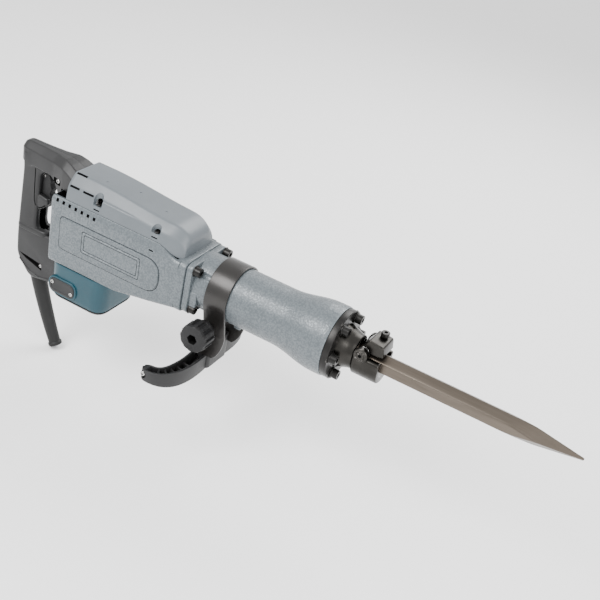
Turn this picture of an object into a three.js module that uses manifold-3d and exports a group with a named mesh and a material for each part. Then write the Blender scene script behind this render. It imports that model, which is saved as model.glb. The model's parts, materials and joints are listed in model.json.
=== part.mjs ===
// Electric jackhammer for 30 mm hexagon-shank chisels, in millimetres, +Z up.
//
// +X runs along the hammer axis towards the chisel point, +Z is up through the
// top cover and +Y is the tool's left. The origin is the centre of the flat
// underside of the tail cover, straight below the motor shaft. Every sub-part
// is a closed solid of its own in a mesh of its own.
import * as THREE from 'three';
import { mergeVertices } from 'three/addons/utils/BufferGeometryUtils.js';
import Module from 'manifold-3d';

const wasm = await Module();
wasm.setup();

// ---------------------------------------------------------------- driving dimensions
const GAP = 0.3; // clearance between pieces that touch on the real tool
const AXIS_Z = 140; // height of the hammer axis above the tail cover's underside
const ROUND = 24; // facets of a turned piece

// along the hammer axis
const HOUSING_REAR = -68;
const HOUSING_FRONT = 212;
const BAND_X = 273;
const BARREL_FRONT = 474;
const COVER_PLATE_FRONT = 486;
const RETAINER_FRONT = 560;
const CHISEL_TAIL = 478;
const CHISEL_TIP = 888;
const POINT_START = 762; // where the four flats of the point begin
const CHISEL_TRAVEL = 18; // free play that the notch gives the retaining pin

// across it
const HOUSING_HALF = 57;
const BARREL_R = 48.7;
const FLARE_R = 60;
const BORE_R = 34.5; // bore of the barrel, round the cylinder liner
const LINER_R = 34.2;
const CYLINDER_R = 30.4;
const PISTON_R = 30;
const HEX_FLATS = 30; // chisel shank across flats

// drive train, all shafts along Z
const MODULE_ONE = 1.4;
const MODULE_TWO = 2;
const TEETH = { motor: 12, layWheel: 60, layPinion: 15, crank: 45 };
const LAY_X = (MODULE_ONE * (TEETH.motor + TEETH.layWheel)) / 2;
const CRANK_X = LAY_X + (MODULE_TWO * (TEETH.layPinion + TEETH.crank)) / 2;
const CRANK_THROW = 17;
const ROD_LENGTH = 70;

// side handle
const BOLT_X = 263;
const BOLT_Z = 81;
const BOLT_R = 5;
const BOW_BOTTOM = -12;
const BOW_TOP = 21;

// ---------------------------------------------------------------- materials
const material = (color, roughness, metalness) =>
  new THREE.MeshStandardMaterial({ color, roughness, metalness });
const hammeredPaint = material(0x7d8990, 0.45, 0.35);
const greyPlastic = material(0x8b949a, 0.5, 0);
const blackPlastic = material(0x1c1d1f, 0.55, 0);
const tealPlastic = material(0x1f6b7a, 0.5, 0);
const blackRubber = material(0x141414, 0.85, 0);
const blackSteel = material(0x242424, 0.45, 0.8);
const gunmetal = material(0x4b4a48, 0.4, 0.85);
const brightSteel = material(0xa4a6a8, 0.3, 0.95);
const forgedSteel = material(0x6b6259, 0.5, 0.85);
const aluminium = material(0xb2b5b7, 0.45, 0.9);
const laminations = material(0x56585a, 0.55, 0.8);
const copper = material(0xb06a3b, 0.4, 0.9);
const carbon = material(0x26262a, 0.8, 0.1);

// ---------------------------------------------------------------- geometry helpers
/** Turns a closed three.js geometry into a solid, whichever way it was wound. */
function solid(geometry) {
  const flat = geometry.clone();
  flat.deleteAttribute('normal');
  flat.deleteAttribute('uv');
  const merged = mergeVertices(flat, 1e-4);
  const points = merged.attributes.position.array;
  const source = merged.index.array;
  const faces = [];
  let volume = 0;
  const corner = (i) => new THREE.Vector3().fromArray(points, 3 * i);
  for (let i = 0; i < source.length; i += 3) {
    const [a, b, c] = [source[i], source[i + 1], source[i + 2]];
    if (a === b || b === c || a === c) continue;
    faces.push([a, b, c]);
    volume += corner(a).dot(corner(b).cross(corner(c)));
  }
  const turned = volume < 0 ? faces.map(([a, b, c]) => [a, c, b]) : faces;
  return new wasm.Manifold(new wasm.Mesh({
    numProp: 3,
    vertProperties: Float32Array.from(points),
    triVerts: Uint32Array.from(turned.flat()),
  }));
}

/** Gives a solid back as a geometry for a mesh. */
function geometryOf(shape) {
  const { vertProperties, triVerts } = shape.getMesh();
  const geometry = new THREE.BufferGeometry();
  geometry.setAttribute('position', new THREE.BufferAttribute(vertProperties, 3));
  geometry.setIndex(new THREE.BufferAttribute(triVerts, 1));
  return geometry;
}

const union = (...shapes) => shapes.reduce((whole, next) => whole.add(next));
const cut = (shape, ...tools) => tools.reduce((rest, tool) => rest.subtract(tool), shape);

/** A box given by its limits: [x0, x1], [y0, y1], [z0, z1]. */
function block([x0, x1], [y0, y1], [z0, z1]) {
  const geometry = new THREE.BoxGeometry(x1 - x0, y1 - y0, z1 - z0);
  geometry.translate((x0 + x1) / 2, (y0 + y1) / 2, (z0 + z1) / 2);
  return solid(geometry);
}

/** A closed profile of [station, radius] pairs turned round X on the hammer axis. */
function turnedX(profile, facets = ROUND) {
  const points = profile.map(([x, r]) => new THREE.Vector2(r, x));
  const geometry = new THREE.LatheGeometry([...points, points[0]], facets);
  geometry.rotateZ(-Math.PI / 2);
  geometry.translate(0, 0, AXIS_Z);
  return solid(geometry);
}

/** A closed profile of [height, radius] pairs turned round a vertical axis. */
function turnedZ(x, y, profile, facets = ROUND) {
  const points = profile.map(([z, r]) => new THREE.Vector2(r, z));
  const geometry = new THREE.LatheGeometry([...points, points[0]], facets);
  geometry.rotateX(Math.PI / 2);
  geometry.translate(x, y, 0);
  return solid(geometry);
}

/** A closed profile of [y, radius] pairs turned round a cross axis. */
function turnedY(x, z, profile, facets = 24) {
  const points = profile.map(([y, r]) => new THREE.Vector2(r, y));
  const geometry = new THREE.LatheGeometry([...points, points[0]], facets);
  geometry.translate(x, 0, z);
  return solid(geometry);
}

const rodX = (x0, x1, r, facets) => turnedX([[x0, 0], [x0, r], [x1, r], [x1, 0]], facets);
const rodZ = (x, y, z0, z1, r, facets) =>
  turnedZ(x, y, [[z0, 0], [z0, r], [z1, r], [z1, 0]], facets);
const rodY = (x, z, y0, y1, r, facets) =>
  turnedY(x, z, [[y0, 0], [y0, r], [y1, r], [y1, 0]], facets);

/** An outline in the XZ plane, extruded from y0 to y1 with an optional rounded edge. */
function sidePlate(outline, y0, y1, rounding = 0, steps = 2) {
  const depth = y1 - y0 - 2 * rounding;
  const geometry = new THREE.ExtrudeGeometry(outline, {
    depth,
    bevelEnabled: rounding > 0,
    bevelSize: rounding,
    bevelThickness: rounding,
    bevelOffset: -rounding,
    bevelSegments: steps,
    curveSegments: 4,
  });
  geometry.translate(0, 0, rounding);
  geometry.rotateX(Math.PI / 2);
  geometry.translate(0, y1, 0);
  return solid(geometry);
}

/** An outline in the YZ plane, extruded from x0 to x1. */
function crossPlate(outline, x0, x1, curveSegments = 4) {
  const geometry = new THREE.ExtrudeGeometry(outline, {
    depth: x1 - x0,
    bevelEnabled: false,
    curveSegments,
  });
  geometry.rotateX(Math.PI / 2);
  geometry.rotateZ(Math.PI / 2);
  geometry.translate(x0, 0, 0);
  return solid(geometry);
}

/** An outline in the XY plane, extruded from z0 to z1. */
function floorPlate(outline, z0, z1, curveSegments = 4) {
  const geometry = new THREE.ExtrudeGeometry(outline, {
    depth: z1 - z0,
    bevelEnabled: false,
    curveSegments,
  });
  geometry.translate(0, 0, z0);
  return solid(geometry);
}

/** A polygon through the given points. */
const polygon = (points) => new THREE.Shape(points.map(([a, b]) => new THREE.Vector2(a, b)));

/** A rectangle with rounded corners, from its limits on two axes. */
function roundedRect([a0, a1], [b0, b1], r) {
  const shape = new THREE.Shape();
  shape.moveTo(a0 + r, b0);
  shape.lineTo(a1 - r, b0);
  shape.absarc(a1 - r, b0 + r, r, -Math.PI / 2, 0);
  shape.lineTo(a1, b1 - r);
  shape.absarc(a1 - r, b1 - r, r, 0, Math.PI / 2);
  shape.lineTo(a0 + r, b1);
  shape.absarc(a0 + r, b1 - r, r, Math.PI / 2, Math.PI);
  shape.lineTo(a0, b0 + r);
  shape.absarc(a0 + r, b0 + r, r, Math.PI, 1.5 * Math.PI);
  return shape;
}

/** Points of a rounded rectangle, the same number whatever its size. */
function roundedLoop([a0, a1], [b0, b1], r, perCorner = 4) {
  const centres = [[a1 - r, b0 + r, -90], [a1 - r, b1 - r, 0], [a0 + r, b1 - r, 90], [a0 + r, b0 + r, 180]];
  return centres.flatMap(([a, b, start]) =>
    Array.from({ length: perCorner }, (_, i) => {
      const angle = THREE.MathUtils.degToRad(start + (90 * i) / (perCorner - 1));
      return [a + r * Math.cos(angle), b + r * Math.sin(angle)];
    }));
}

/** Skins a row of loops, each a list of [x, y, z] points of equal length, and closes the ends. */
function loft(loops) {
  const count = loops[0].length;
  const positions = loops.flat(2);
  const index = [];
  for (let row = 0; row + 1 < loops.length; row += 1) {
    for (let i = 0; i < count; i += 1) {
      const a = row * count + i;
      const b = row * count + ((i + 1) % count);
      index.push(a, b, b + count, a, b + count, a + count);
    }
  }
  const last = (loops.length - 1) * count;
  for (let i = 1; i + 1 < count; i += 1) {
    index.push(0, i + 1, i);
    index.push(last, last + i, last + i + 1);
  }
  const geometry = new THREE.BufferGeometry();
  geometry.setAttribute('position', new THREE.Float32BufferAttribute(positions, 3));
  geometry.setIndex(index);
  return solid(geometry);
}

/** Outline of an involute gear: module, teeth, and the angle of one tooth's centre. */
function gearOutline(module, teeth, phase = 0, backlash = 0.4) {
  const pitch = (module * teeth) / 2;
  const pressure = THREE.MathUtils.degToRad(20);
  const base = pitch * Math.cos(pressure);
  const tip = pitch + 0.85 * module;
  const root = pitch - 1.15 * module;
  const involute = (angle) => Math.tan(angle) - angle;
  const half = (radius) => {
    const angle = radius > base ? Math.acos(base / radius) : 0;
    return (Math.PI / 2 / teeth) - backlash / 2 / pitch + involute(pressure) - involute(angle);
  };
  const flank = teeth > 20 ? [root, tip] : [root, pitch, tip];
  const points = [];
  for (let tooth = 0; tooth < teeth; tooth += 1) {
    const centre = phase + (2 * Math.PI * tooth) / teeth;
    const rising = flank.map((radius) => [radius, centre - half(radius)]);
    const falling = flank.map((radius) => [radius, centre + half(radius)]).reverse();
    for (const [radius, angle] of [...rising, ...falling]) {
      points.push([radius * Math.cos(angle), radius * Math.sin(angle)]);
    }
  }
  return polygon(points);
}

const gearDisc = (x, module, teeth, phase, z0, z1) =>
  floorPlate(gearOutline(module, teeth, phase), z0, z1).translate(x, 0, 0);

/** A hexagonal prism along X, given across flats, with a corner on top. */
function hexRodX(x0, x1, flats) {
  const geometry = new THREE.CylinderGeometry(flats / Math.sqrt(3), flats / Math.sqrt(3), x1 - x0, 6);
  geometry.rotateZ(-Math.PI / 2);
  geometry.translate((x0 + x1) / 2, 0, AXIS_Z);
  return solid(geometry);
}

// ---------------------------------------------------------------- assembly
const jackhammer = new THREE.Group();

function addPart(name, shape, look) {
  const mesh = new THREE.Mesh(geometryOf(shape), look);
  mesh.name = name;
  jackhammer.add(mesh);
}

// ---------------------------------------------------------------- main housing
const FLOOR_Z = 71; // underside of the motor section, where the tail cover starts
const DECK_Z = 188; // top of the casting, where the top cover starts
const WALL = 4;
const STATOR_R = 46;

/** Side outline of the casting: deep over the motor, rising towards the barrel. */
function housingOutline(inset) {
  return polygon([
    [HOUSING_REAR + inset, FLOOR_Z + inset],
    [75, FLOOR_Z + inset],
    [156, 86 + inset],
    [198 - inset, 95 + inset],
    [198 - inset, DECK_Z - inset],
    [HOUSING_REAR + inset, DECK_Z - inset],
  ]);
}

function mainHousing() {
  const body = sidePlate(housingOutline(0), -HOUSING_HALF, HOUSING_HALF, 6, 2);
  const chamber = sidePlate(housingOutline(WALL), WALL - HOUSING_HALF, HOUSING_HALF - WALL);
  const openTop = block([HOUSING_REAR + WALL, 188], [-50, 50], [DECK_Z - 20, DECK_Z + 5]);
  const openFloor = rodZ(0, 0, FLOOR_Z - 5, FLOOR_Z + 20, STATOR_R + 1);
  const flange = crossPlate(roundedRect([-HOUSING_HALF, HOUSING_HALF], [92, DECK_Z], 14), 190, HOUSING_FRONT, 5);
  const mouth = rodX(180, HOUSING_FRONT + 5, BORE_R + 1);
  const panel = (side) => {
    const y = side * (HOUSING_HALF + 1);
    return sidePlate(roundedRect([-43, 162], [107, 168], 28), y - 2.2, y + 2.2, 1, 1);
  };
  const shell = cut(union(body, flange, panel(1), panel(-1)), chamber, openTop, openFloor, mouth);
  const bulkhead = block([57.5, 61], [WALL - HOUSING_HALF - 1, HOUSING_HALF - WALL + 1], [FLOOR_Z + 2, PLATE_Z - GAP]);
  const motorTube = turnedZ(0, 0, [
    [FLOOR_Z + 1, STATOR_R + 1], [FLOOR_Z + 1, STATOR_R + 4], [133, STATOR_R + 4], [133, STATOR_R + 1],
  ]);
  const rib = (side) => block([-3, 3], [side * 51.5 - 3, side * 51.5 + 3], [FLOOR_Z + 2, 130]);
  const boltHoles = flangeBoltSpots().map(([y, z]) =>
    rodX(180, HOUSING_FRONT + 5, FLANGE_BOLT_R + 0.4, 12).translate(0, y, z - AXIS_Z));
  return cut(union(shell, bulkhead, motorTube, rib(1), rib(-1)), ...boltHoles);
}

// barrel flange bolts: one in each corner
const FLANGE_BOLT_R = 5;
const flangeBoltSpots = () =>
  [[-44, 104], [-44, 176], [44, 176], [44, 104]];

// ---------------------------------------------------------------- top cover
/** One cross section of the cover: a rounded trapezium; plan narrows it towards the ends. */
function coverLoop(x, top, plan, inset) {
  const base = (HOUSING_HALF - 5) * plan - inset;
  const crown = 41 * plan - inset;
  const z0 = DECK_Z + GAP;
  return roundedLoop([-1, 1], [0, 1], 0.3).map(([side, rise]) => {
    const half = base + (crown - base) * rise;
    return [x, side * half, z0 + (top - inset - z0) * rise];
  });
}

function topCover() {
  const rear = -40;
  const front = 200;
  const profile = [[rear, 238, 0.97], [rear + 8, 243, 1], [0, 245, 1], [165, 233, 1], [188, 225, 0.93],
    [front, 208, 0.8]];
  const skin = loft(profile.map(([x, top, plan]) => coverLoop(x, top, plan, 0)));
  const inner = profile.map(([x, top, plan], i) =>
    coverLoop(x + (i === 0 ? 3 : 0) - (i === profile.length - 1 ? 3 : 0), top, plan, 3));
  const room = union(loft(inner), block([rear + 4, front - 14], [-48.5, 48.5], [DECK_Z - 5, DECK_Z + 8]));
  return cut(skin, room);
}

// ---------------------------------------------------------------- barrel and nose
function cylinderCase() {
  const body = turnedX([
    [HOUSING_FRONT + GAP, BORE_R], [HOUSING_FRONT + GAP, BARREL_R], [376, BARREL_R], [394, 50], [411, 53],
    [428, 57.3], [442, 59.4], [456, FLARE_R], [BARREL_FRONT, FLARE_R], [BARREL_FRONT, BORE_R],
  ]);
  const x0 = HOUSING_FRONT + GAP;
  const flange = crossPlate(roundedRect([-54, 54], [94, 186], 12), x0, x0 + 12);
  const boss = block([x0, 236], [-50, 50], [102, 140]);
  const lug = block([297, 307], [-14, 6], [86, 96]);
  const bore = rodX(x0 - 1, BARREL_FRONT + 1, BORE_R);
  const boltHoles = flangeBoltSpots().map(([y, z]) =>
    rodX(x0 - 5, x0 + 20, FLANGE_BOLT_R + 0.4, 12).translate(0, y, z - AXIS_Z));
  const headSeats = flangeBoltSpots().map(([y, z]) =>
    rodX(x0 + 12, 260, FLANGE_BOLT_R + 5, 16).translate(0, y, z - AXIS_Z));
  return cut(union(body, flange, boss, lug), bore, ...boltHoles, ...headSeats);
}

/** Socket-head screw along X: its seat, grip length behind it, radius, and washer thickness. */
function capScrew(seat, grip, r, y, z, washer) {
  const face = seat + washer;
  const profile = [[seat - grip, 0], [seat - grip, r], [seat, r], [seat, 1.95 * r], [face, 1.95 * r],
    [face, 1.6 * r], [face + 2 * r, 1.6 * r], [face + 2 * r, 0]];
  const socket = hexRodX(face + r, face + 2 * r + 1, 1.6 * r);
  return cut(turnedX(profile, 14), socket).translate(0, y, z - AXIS_Z);
}

// nose bolts: six round the front cover
const NOSE_BOLTS = 6;
const NOSE_BOLT_CIRCLE = 47.5;
const NOSE_BOLT_R = 5;
const NOSE_BORE_R = 23.3; // bore of the neck, round the hexagon bush
const noseBoltSpot = (i) => {
  const angle = (2 * Math.PI * i) / NOSE_BOLTS;
  return [NOSE_BOLT_CIRCLE * Math.cos(angle), AXIS_Z + NOSE_BOLT_CIRCLE * Math.sin(angle)];
};
const noseBoltHoles = (x0, x1) =>
  Array.from({ length: NOSE_BOLTS }, (_, i) => noseBoltSpot(i)).map(([y, z]) =>
    rodX(x0, x1, NOSE_BOLT_R + 0.4, 12).translate(0, y, z - AXIS_Z));

function frontCover() {
  const x0 = BARREL_FRONT + GAP;
  const body = turnedX([
    [x0, NOSE_BORE_R], [x0, 58.5], [COVER_PLATE_FRONT, 58.5], [COVER_PLATE_FRONT, 37], [494, 35],
    [506, 30.5], [514, 29], [514, NOSE_BORE_R],
  ]);
  return cut(body, ...noseBoltHoles(x0 - 5, COVER_PLATE_FRONT + 5));
}

// ---------------------------------------------------------------- tool retainer
const PIN_X = 527;
const PIN_Z = AXIS_Z + 16;
const PIN_R = 7;
const LEVER_TOP = AXIS_Z + 41;
const LEVER_BOLT = [545, 9];

/** Trough-shaped block in front of the neck, with two ears for the cross pin. */
function retainer() {
  const outline = new THREE.Shape();
  outline.moveTo(-30, AXIS_Z + 12);
  outline.lineTo(-30, AXIS_Z - 4);
  outline.absarc(0, AXIS_Z - 4, 30, Math.PI, 2 * Math.PI);
  outline.lineTo(30, AXIS_Z + 12);
  const x0 = 514 + GAP;
  const trough = crossPlate(outline, x0, RETAINER_FRONT);
  const ear = (y0, y1) => rodY(PIN_X, PIN_Z, y0, y1, 12);
  const bore = rodX(x0 - 1, RETAINER_FRONT + 1, 18);
  const slot = block([x0 - 1, RETAINER_FRONT + 1], [-21.5, 21.5], [AXIS_Z + 5, AXIS_Z + 30]);
  const eye = rodY(PIN_X, PIN_Z, -40, 40, PIN_R + 0.3);
  return cut(union(trough, ear(-32, -21.5), ear(21.5, 32)), bore, slot, eye);
}

/** Lever block on the cross pin, lifted to free the chisel. */
function latch() {
  const outline = polygon([
    [PIN_X - 3, PIN_Z + 3], [PIN_X - 5.5, PIN_Z + 10.5], [PIN_X - 1.5, PIN_Z + 14], [PIN_X + 4.5, LEVER_TOP + 1],
    [557, LEVER_TOP - 2], [560, AXIS_Z + 21], [553, AXIS_Z + 18.5], [PIN_X + 10, PIN_Z + 2.2],
  ]);
  const body = sidePlate(outline, -20, 20, 2, 1);
  const eye = rodY(PIN_X, PIN_Z, -40, 40, PIN_R + GAP);
  const cheek = rodY(PIN_X, PIN_Z, 15.6, 20.6, 10.5, 20);
  const springRoom = rodY(PIN_X, PIN_Z, -22, -15, 12);
  const boltHole = rodZ(LEVER_BOLT[0], LEVER_BOLT[1], LEVER_TOP - 15, LEVER_TOP + 10, 4.3, 12);
  return cut(union(body, cheek), eye, springRoom, boltHole);
}

const latchPin = () => rodY(PIN_X, PIN_Z, -33, 33, PIN_R, 20);

/** Cap screw that stands in the lever's top face. */
function latchBolt() {
  const [x, y] = LEVER_BOLT;
  const profile = [[LEVER_TOP - 14, 0], [LEVER_TOP - 14, 4], [LEVER_TOP + 1.3, 4], [LEVER_TOP + 1.3, 7],
    [LEVER_TOP + 8.5, 7], [LEVER_TOP + 8.5, 0]];
  const socket = rodZ(x, y, LEVER_TOP + 4, LEVER_TOP + 12, 3.4, 6);
  return cut(turnedZ(x, y, profile, 16), socket);
}

/** Torsion spring: two turns round the pin, between an ear and the lever. */
function latchSpring() {
  const turns = 2;
  const wire = 0.8;
  const radius = PIN_R + 2.1;
  const coil = new THREE.Curve();
  coil.getPoint = (t) => {
    const angle = 2 * Math.PI * turns * t;
    return new THREE.Vector3(
      PIN_X + radius * Math.cos(angle), -20 + 3.6 * t, PIN_Z + radius * Math.sin(angle));
  };
  const section = new THREE.Shape();
  section.absarc(0, 0, wire, 0, 2 * Math.PI);
  return solid(new THREE.ExtrudeGeometry(section, { steps: 28, extrudePath: coil, curveSegments: 3 }));
}

/** Hexagon-shank bull-point chisel with a notch for the retaining pin. */
function chisel() {
  const shank = hexRodX(CHISEL_TAIL, CHISEL_TIP, HEX_FLATS);
  const ends = turnedX([[CHISEL_TAIL, 0], [CHISEL_TAIL, 14], [CHISEL_TAIL + 4, 18], [CHISEL_TIP, 18], [CHISEL_TIP, 0]]);
  const point = turnedX([[CHISEL_TAIL - 1, 0], [CHISEL_TAIL - 1, 25], [POINT_START, 25], [CHISEL_TIP - 1, 2.4],
    [CHISEL_TIP, 0]], 4);
  const notch = block([PIN_X - PIN_R - CHISEL_TRAVEL - 0.5, PIN_X + PIN_R + 0.8], [-20, 20],
    [PIN_Z - PIN_R - 0.5, AXIS_Z + 30]);
  return cut(shank.intersect(ends).intersect(point), notch);
}

// ---------------------------------------------------------------- hammer mechanism
function cylinderLiner() {
  const tube = turnedX([[205, CYLINDER_R], [205, LINER_R], [404, LINER_R], [404, CYLINDER_R]]);
  const vents = [0, 1, 2, 3].map((i) =>
    rodZ(292, 0, AXIS_Z - 40, AXIS_Z + 40, 2.5, 8).translate(0, 0, -AXIS_Z).rotate([45 * i, 0, 0])
      .translate(0, 0, AXIS_Z));
  return cut(tube, ...vents);
}

/** Bucket piston, open towards the crank so that the rod's small end swings inside it. */
const piston = () => turnedX([
  [188, 27.2], [188, PISTON_R], [238, PISTON_R], [238, 28.6], [242, 28.6], [242, PISTON_R],
  [252, PISTON_R], [252, 0], [243, 0], [243, 27.2],
]);

/** Flying ram that the air spring drives. */
const striker = () => turnedX([
  [300, 0], [300, PISTON_R - 1], [304, PISTON_R], [356, PISTON_R], [360, 27], [362, 16], [400, 16],
  [402, 14], [402, 0],
]);

/** Steel bush that guides the anvil in front of the liner. */
const anvilBush = () => turnedX([[404 + GAP, 22], [404 + GAP, LINER_R], [460, LINER_R], [460, 22]]);

/** Anvil that passes the blow on to the chisel. */
const anvil = () => turnedX([
  [411, 0], [411, 17], [413, 19], [424, 19], [426, 21.6], [450, 21.6], [454, 15], [477, 15], [477, 0],
]);

const noseDamper = () => turnedX([[460 + GAP, 24], [460 + GAP, 33.5], [473.7, 33.5], [473.7, 24]]);

/** Hexagon bush that takes the chisel shank in the nose. */
function hexBush() {
  const body = rodX(480, 513, NOSE_BORE_R - GAP);
  return cut(body, hexRodX(470, 520, HEX_FLATS + 0.8));
}

// ---------------------------------------------------------------- drive train
const WHEEL_Z = 200; // lay wheel level
const CRANK_WHEEL_Z = 182; // crank wheel level
const PLATE_Z = 166; // underside of the gear plate

function gearPlate() {
  const plate = floorPlate(roundedRect([-62, 170], [-49, 49], 12), PLATE_Z, PLATE_Z + 9);
  const motorEye = rodZ(0, 0, PLATE_Z - 5, PLATE_Z + 20, 13.3);
  const layEye = rodZ(LAY_X, 0, PLATE_Z - 5, PLATE_Z + 20, 6.3);
  const crankEye = rodZ(CRANK_X, 0, PLATE_Z - 5, PLATE_Z + 20, 21.3);
  const pistonRoom = rodX(153, 175, PISTON_R + 0.7, 36);
  return cut(plate, motorEye, layEye, crankEye, pistonRoom);
}

/** Shielded ball bearing as one ring, dished between its races on the upper face. */
function bearing(x, z0, width, bore, outer) {
  const race = (outer - bore) / 3.5;
  const top = z0 + width;
  return turnedZ(x, 0, [
    [z0, bore], [z0, outer], [top, outer], [top, outer - race], [top - 1, outer - race],
    [top - 1, bore + race], [top, bore + race], [top, bore],
  ], 18);
}

function armatureShaft() {
  const shaft = turnedZ(0, 0, [
    [16, 0], [16, 5], [30, 5], [30, 7.5], [156, 7.5], [156, 6], [191, 6], [191, 0],
  ], 20);
  const pinion = gearDisc(0, MODULE_ONE, TEETH.motor, 0, WHEEL_Z - 12, WHEEL_Z + 12);
  return union(shaft, pinion, rodZ(0, 0, 185, 192, 6, 20));
}

/** Laminated rotor with its winding slots. */
function armatureCore() {
  const body = turnedZ(0, 0, [[72, 7.8], [72, 24], [128, 24], [128, 7.8]], 36);
  const slots = Array.from({ length: 10 }, (_, i) =>
    block([21, 26], [-1.5, 1.5], [60, 140]).rotate([0, 0, 36 * i]));
  return cut(body, ...slots);
}

const commutator = () => {
  const body = turnedZ(0, 0, [[34, 7.8], [34, 15], [60, 15], [60, 18], [63, 18], [63, 7.8]], 24);
  const slits = Array.from({ length: 10 }, (_, i) =>
    block([14, 20], [-0.4, 0.4], [30, 61]).rotate([0, 0, 36 * i]));
  return cut(body, ...slits);
};

/** Radial fan above the rotor: a disc, a hub and straight blades. */
function fan() {
  const disc = turnedZ(0, 0, [[136, 7.8], [136, 40], [138.5, 40], [138.5, 7.8]], 36);
  const hub = turnedZ(0, 0, [[138, 7.8], [138, 13], [150, 13], [150, 7.8]], 20);
  const blades = Array.from({ length: 9 }, (_, i) =>
    block([12, 38], [-1, 1], [138, 148]).rotate([0, 0, 40 * i]));
  return union(disc, hub, ...blades);
}

/** Field pack: a laminated ring with two pole shoes and the coil gap between them. */
function stator() {
  const ring = turnedZ(0, 0, [[70, 25.5], [70, STATOR_R], [130, STATOR_R], [130, 25.5]], 36);
  const windows = [0, 180].map((turn) =>
    block([24, 36], [-26, 26], [60, 140]).rotate([0, 0, turn]));
  return cut(ring, ...windows);
}

function layGear() {
  const wheel = gearDisc(LAY_X, MODULE_ONE, TEETH.layWheel, Math.PI / TEETH.layWheel, WHEEL_Z, WHEEL_Z + 9);
  const pinion = gearDisc(LAY_X, MODULE_TWO, TEETH.layPinion, 0, CRANK_WHEEL_Z, WHEEL_Z + 1);
  const shaft = turnedZ(LAY_X, 0, [[158, 0], [158, 6], [183, 6], [183, 8], [214, 8], [214, 0]], 20);
  const lightening = [0, 1, 2, 3, 4].map((i) =>
    rodZ(26, 0, WHEEL_Z - 1, WHEEL_Z + 10, 7, 8).rotate([0, 0, 72 * i + 36]).translate(LAY_X, 0, 0));
  return union(cut(wheel, ...lightening), pinion, shaft);
}

function crankWheel() {
  const wheel = gearDisc(CRANK_X, MODULE_TWO, TEETH.crank, 0, CRANK_WHEEL_Z, CRANK_WHEEL_Z + 13);
  const bore = rodZ(CRANK_X, 0, CRANK_WHEEL_Z - 1, CRANK_WHEEL_Z + 14, 10.3, 24);
  const lightening = [0, 1, 2, 3, 4].map((i) =>
    rodZ(27, 0, CRANK_WHEEL_Z - 1, CRANK_WHEEL_Z + 14, 8, 8).rotate([0, 0, 72 * i]).translate(CRANK_X, 0, 0));
  return cut(wheel, bore, ...lightening);
}

/** Crankshaft: stub through the bearing, web, and the pin that hangs in the rod's plane. */
function crankshaft() {
  const stub = turnedZ(CRANK_X, 0, [[158, 0], [158, 12], [177, 12], [177, 10], [197, 10], [197, 0]], 24);
  const web = rodZ(CRANK_X, 0, 150, 159, 27, 32);
  const pin = rodZ(CRANK_X + CRANK_THROW, 0, 127, 151, 7, 20);
  return union(stub, web, pin);
}

/** Connecting rod with its big end on the crank pin. */
function connectingRod() {
  const bigX = CRANK_X + CRANK_THROW;
  const smallX = bigX + ROD_LENGTH;
  const ends = union(rodZ(bigX, 0, 131, 149, 13, 24), rodZ(smallX, 0, 131, 149, 9, 20));
  const beam = block([bigX, smallX], [-5.5, 5.5], [135, 145]);
  const eyes = [rodZ(bigX, 0, 120, 160, 7.3, 20), rodZ(smallX, 0, 120, 160, 5.3, 20)];
  return cut(union(ends, beam), ...eyes);
}

const wristPin = () => rodZ(CRANK_X + CRANK_THROW + ROD_LENGTH, 0, 128, 152, 5, 20);

// ---------------------------------------------------------------- tail cover and brushes
const TAIL_REAR = -64;
const TAIL_FRONT = 54;
const TAIL_HALF_Y = 53;
const TAIL_TOP = FLOOR_Z - GAP;

/** Round-cornered tub under the motor; z runs from its flat underside. */
function tailLoop(z, spread) {
  const half = TAIL_HALF_Y + spread;
  return roundedLoop([TAIL_REAR - spread, TAIL_FRONT + spread], [-half, half], 22, 6).map(([x, y]) => [x, y, z]);
}

const BRUSH_Z = 47;
const brushWindow = (side) =>
  rodY(-26, BRUSH_Z - 20, side > 0 ? 30 : -70, side > 0 ? 70 : -30, 9, 20);

function tailCover() {
  const skin = loft([tailLoop(5 + GAP, -2), tailLoop(24, 0), tailLoop(TAIL_TOP, 1)]);
  const room = loft([tailLoop(9, -5), tailLoop(24, -3), tailLoop(TAIL_TOP + 1, -2.5)]);
  const bearingSeat = cut(rodZ(0, 0, 8, 22, 18, 28), rodZ(0, 0, 12, 30, 13.2, 28));
  return cut(union(cut(skin, room), bearingSeat), brushWindow(1), brushWindow(-1));
}

const tailFoot = () => loft([tailLoop(0, -7), tailLoop(2, -3.5), tailLoop(5, -2)]);

/** Oval plate over one carbon brush. */
function brushCover(side) {
  const y = side * (TAIL_HALF_Y + 3.2);
  return sidePlate(roundedRect([-58, -3], [14, 42], 13.5), y - 2, y + 2, 1, 1);
}

function brushHolder(side) {
  const [y0, y1] = side > 0 ? [21, 50] : [-50, -21];
  const body = block([-8, 8], [y0, y1], [40, 55]);
  const tunnel = block([-4.6, 4.6], [y0 - 2, y1 + 2], [43.2, 51.8]);
  return cut(body, tunnel);
}

const carbonBrush = (side) =>
  block([-4.2, 4.2], side > 0 ? [15.5, 40] : [-40, -15.5], [43.6, 51.4]);

// ---------------------------------------------------------------- rear handle
const GRIP_REAR = -170;
const GRIP_FRONT = -126;
const HANDLE_HALF = 18;
const HANDLE_FRONT = HOUSING_REAR - GAP;

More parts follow.
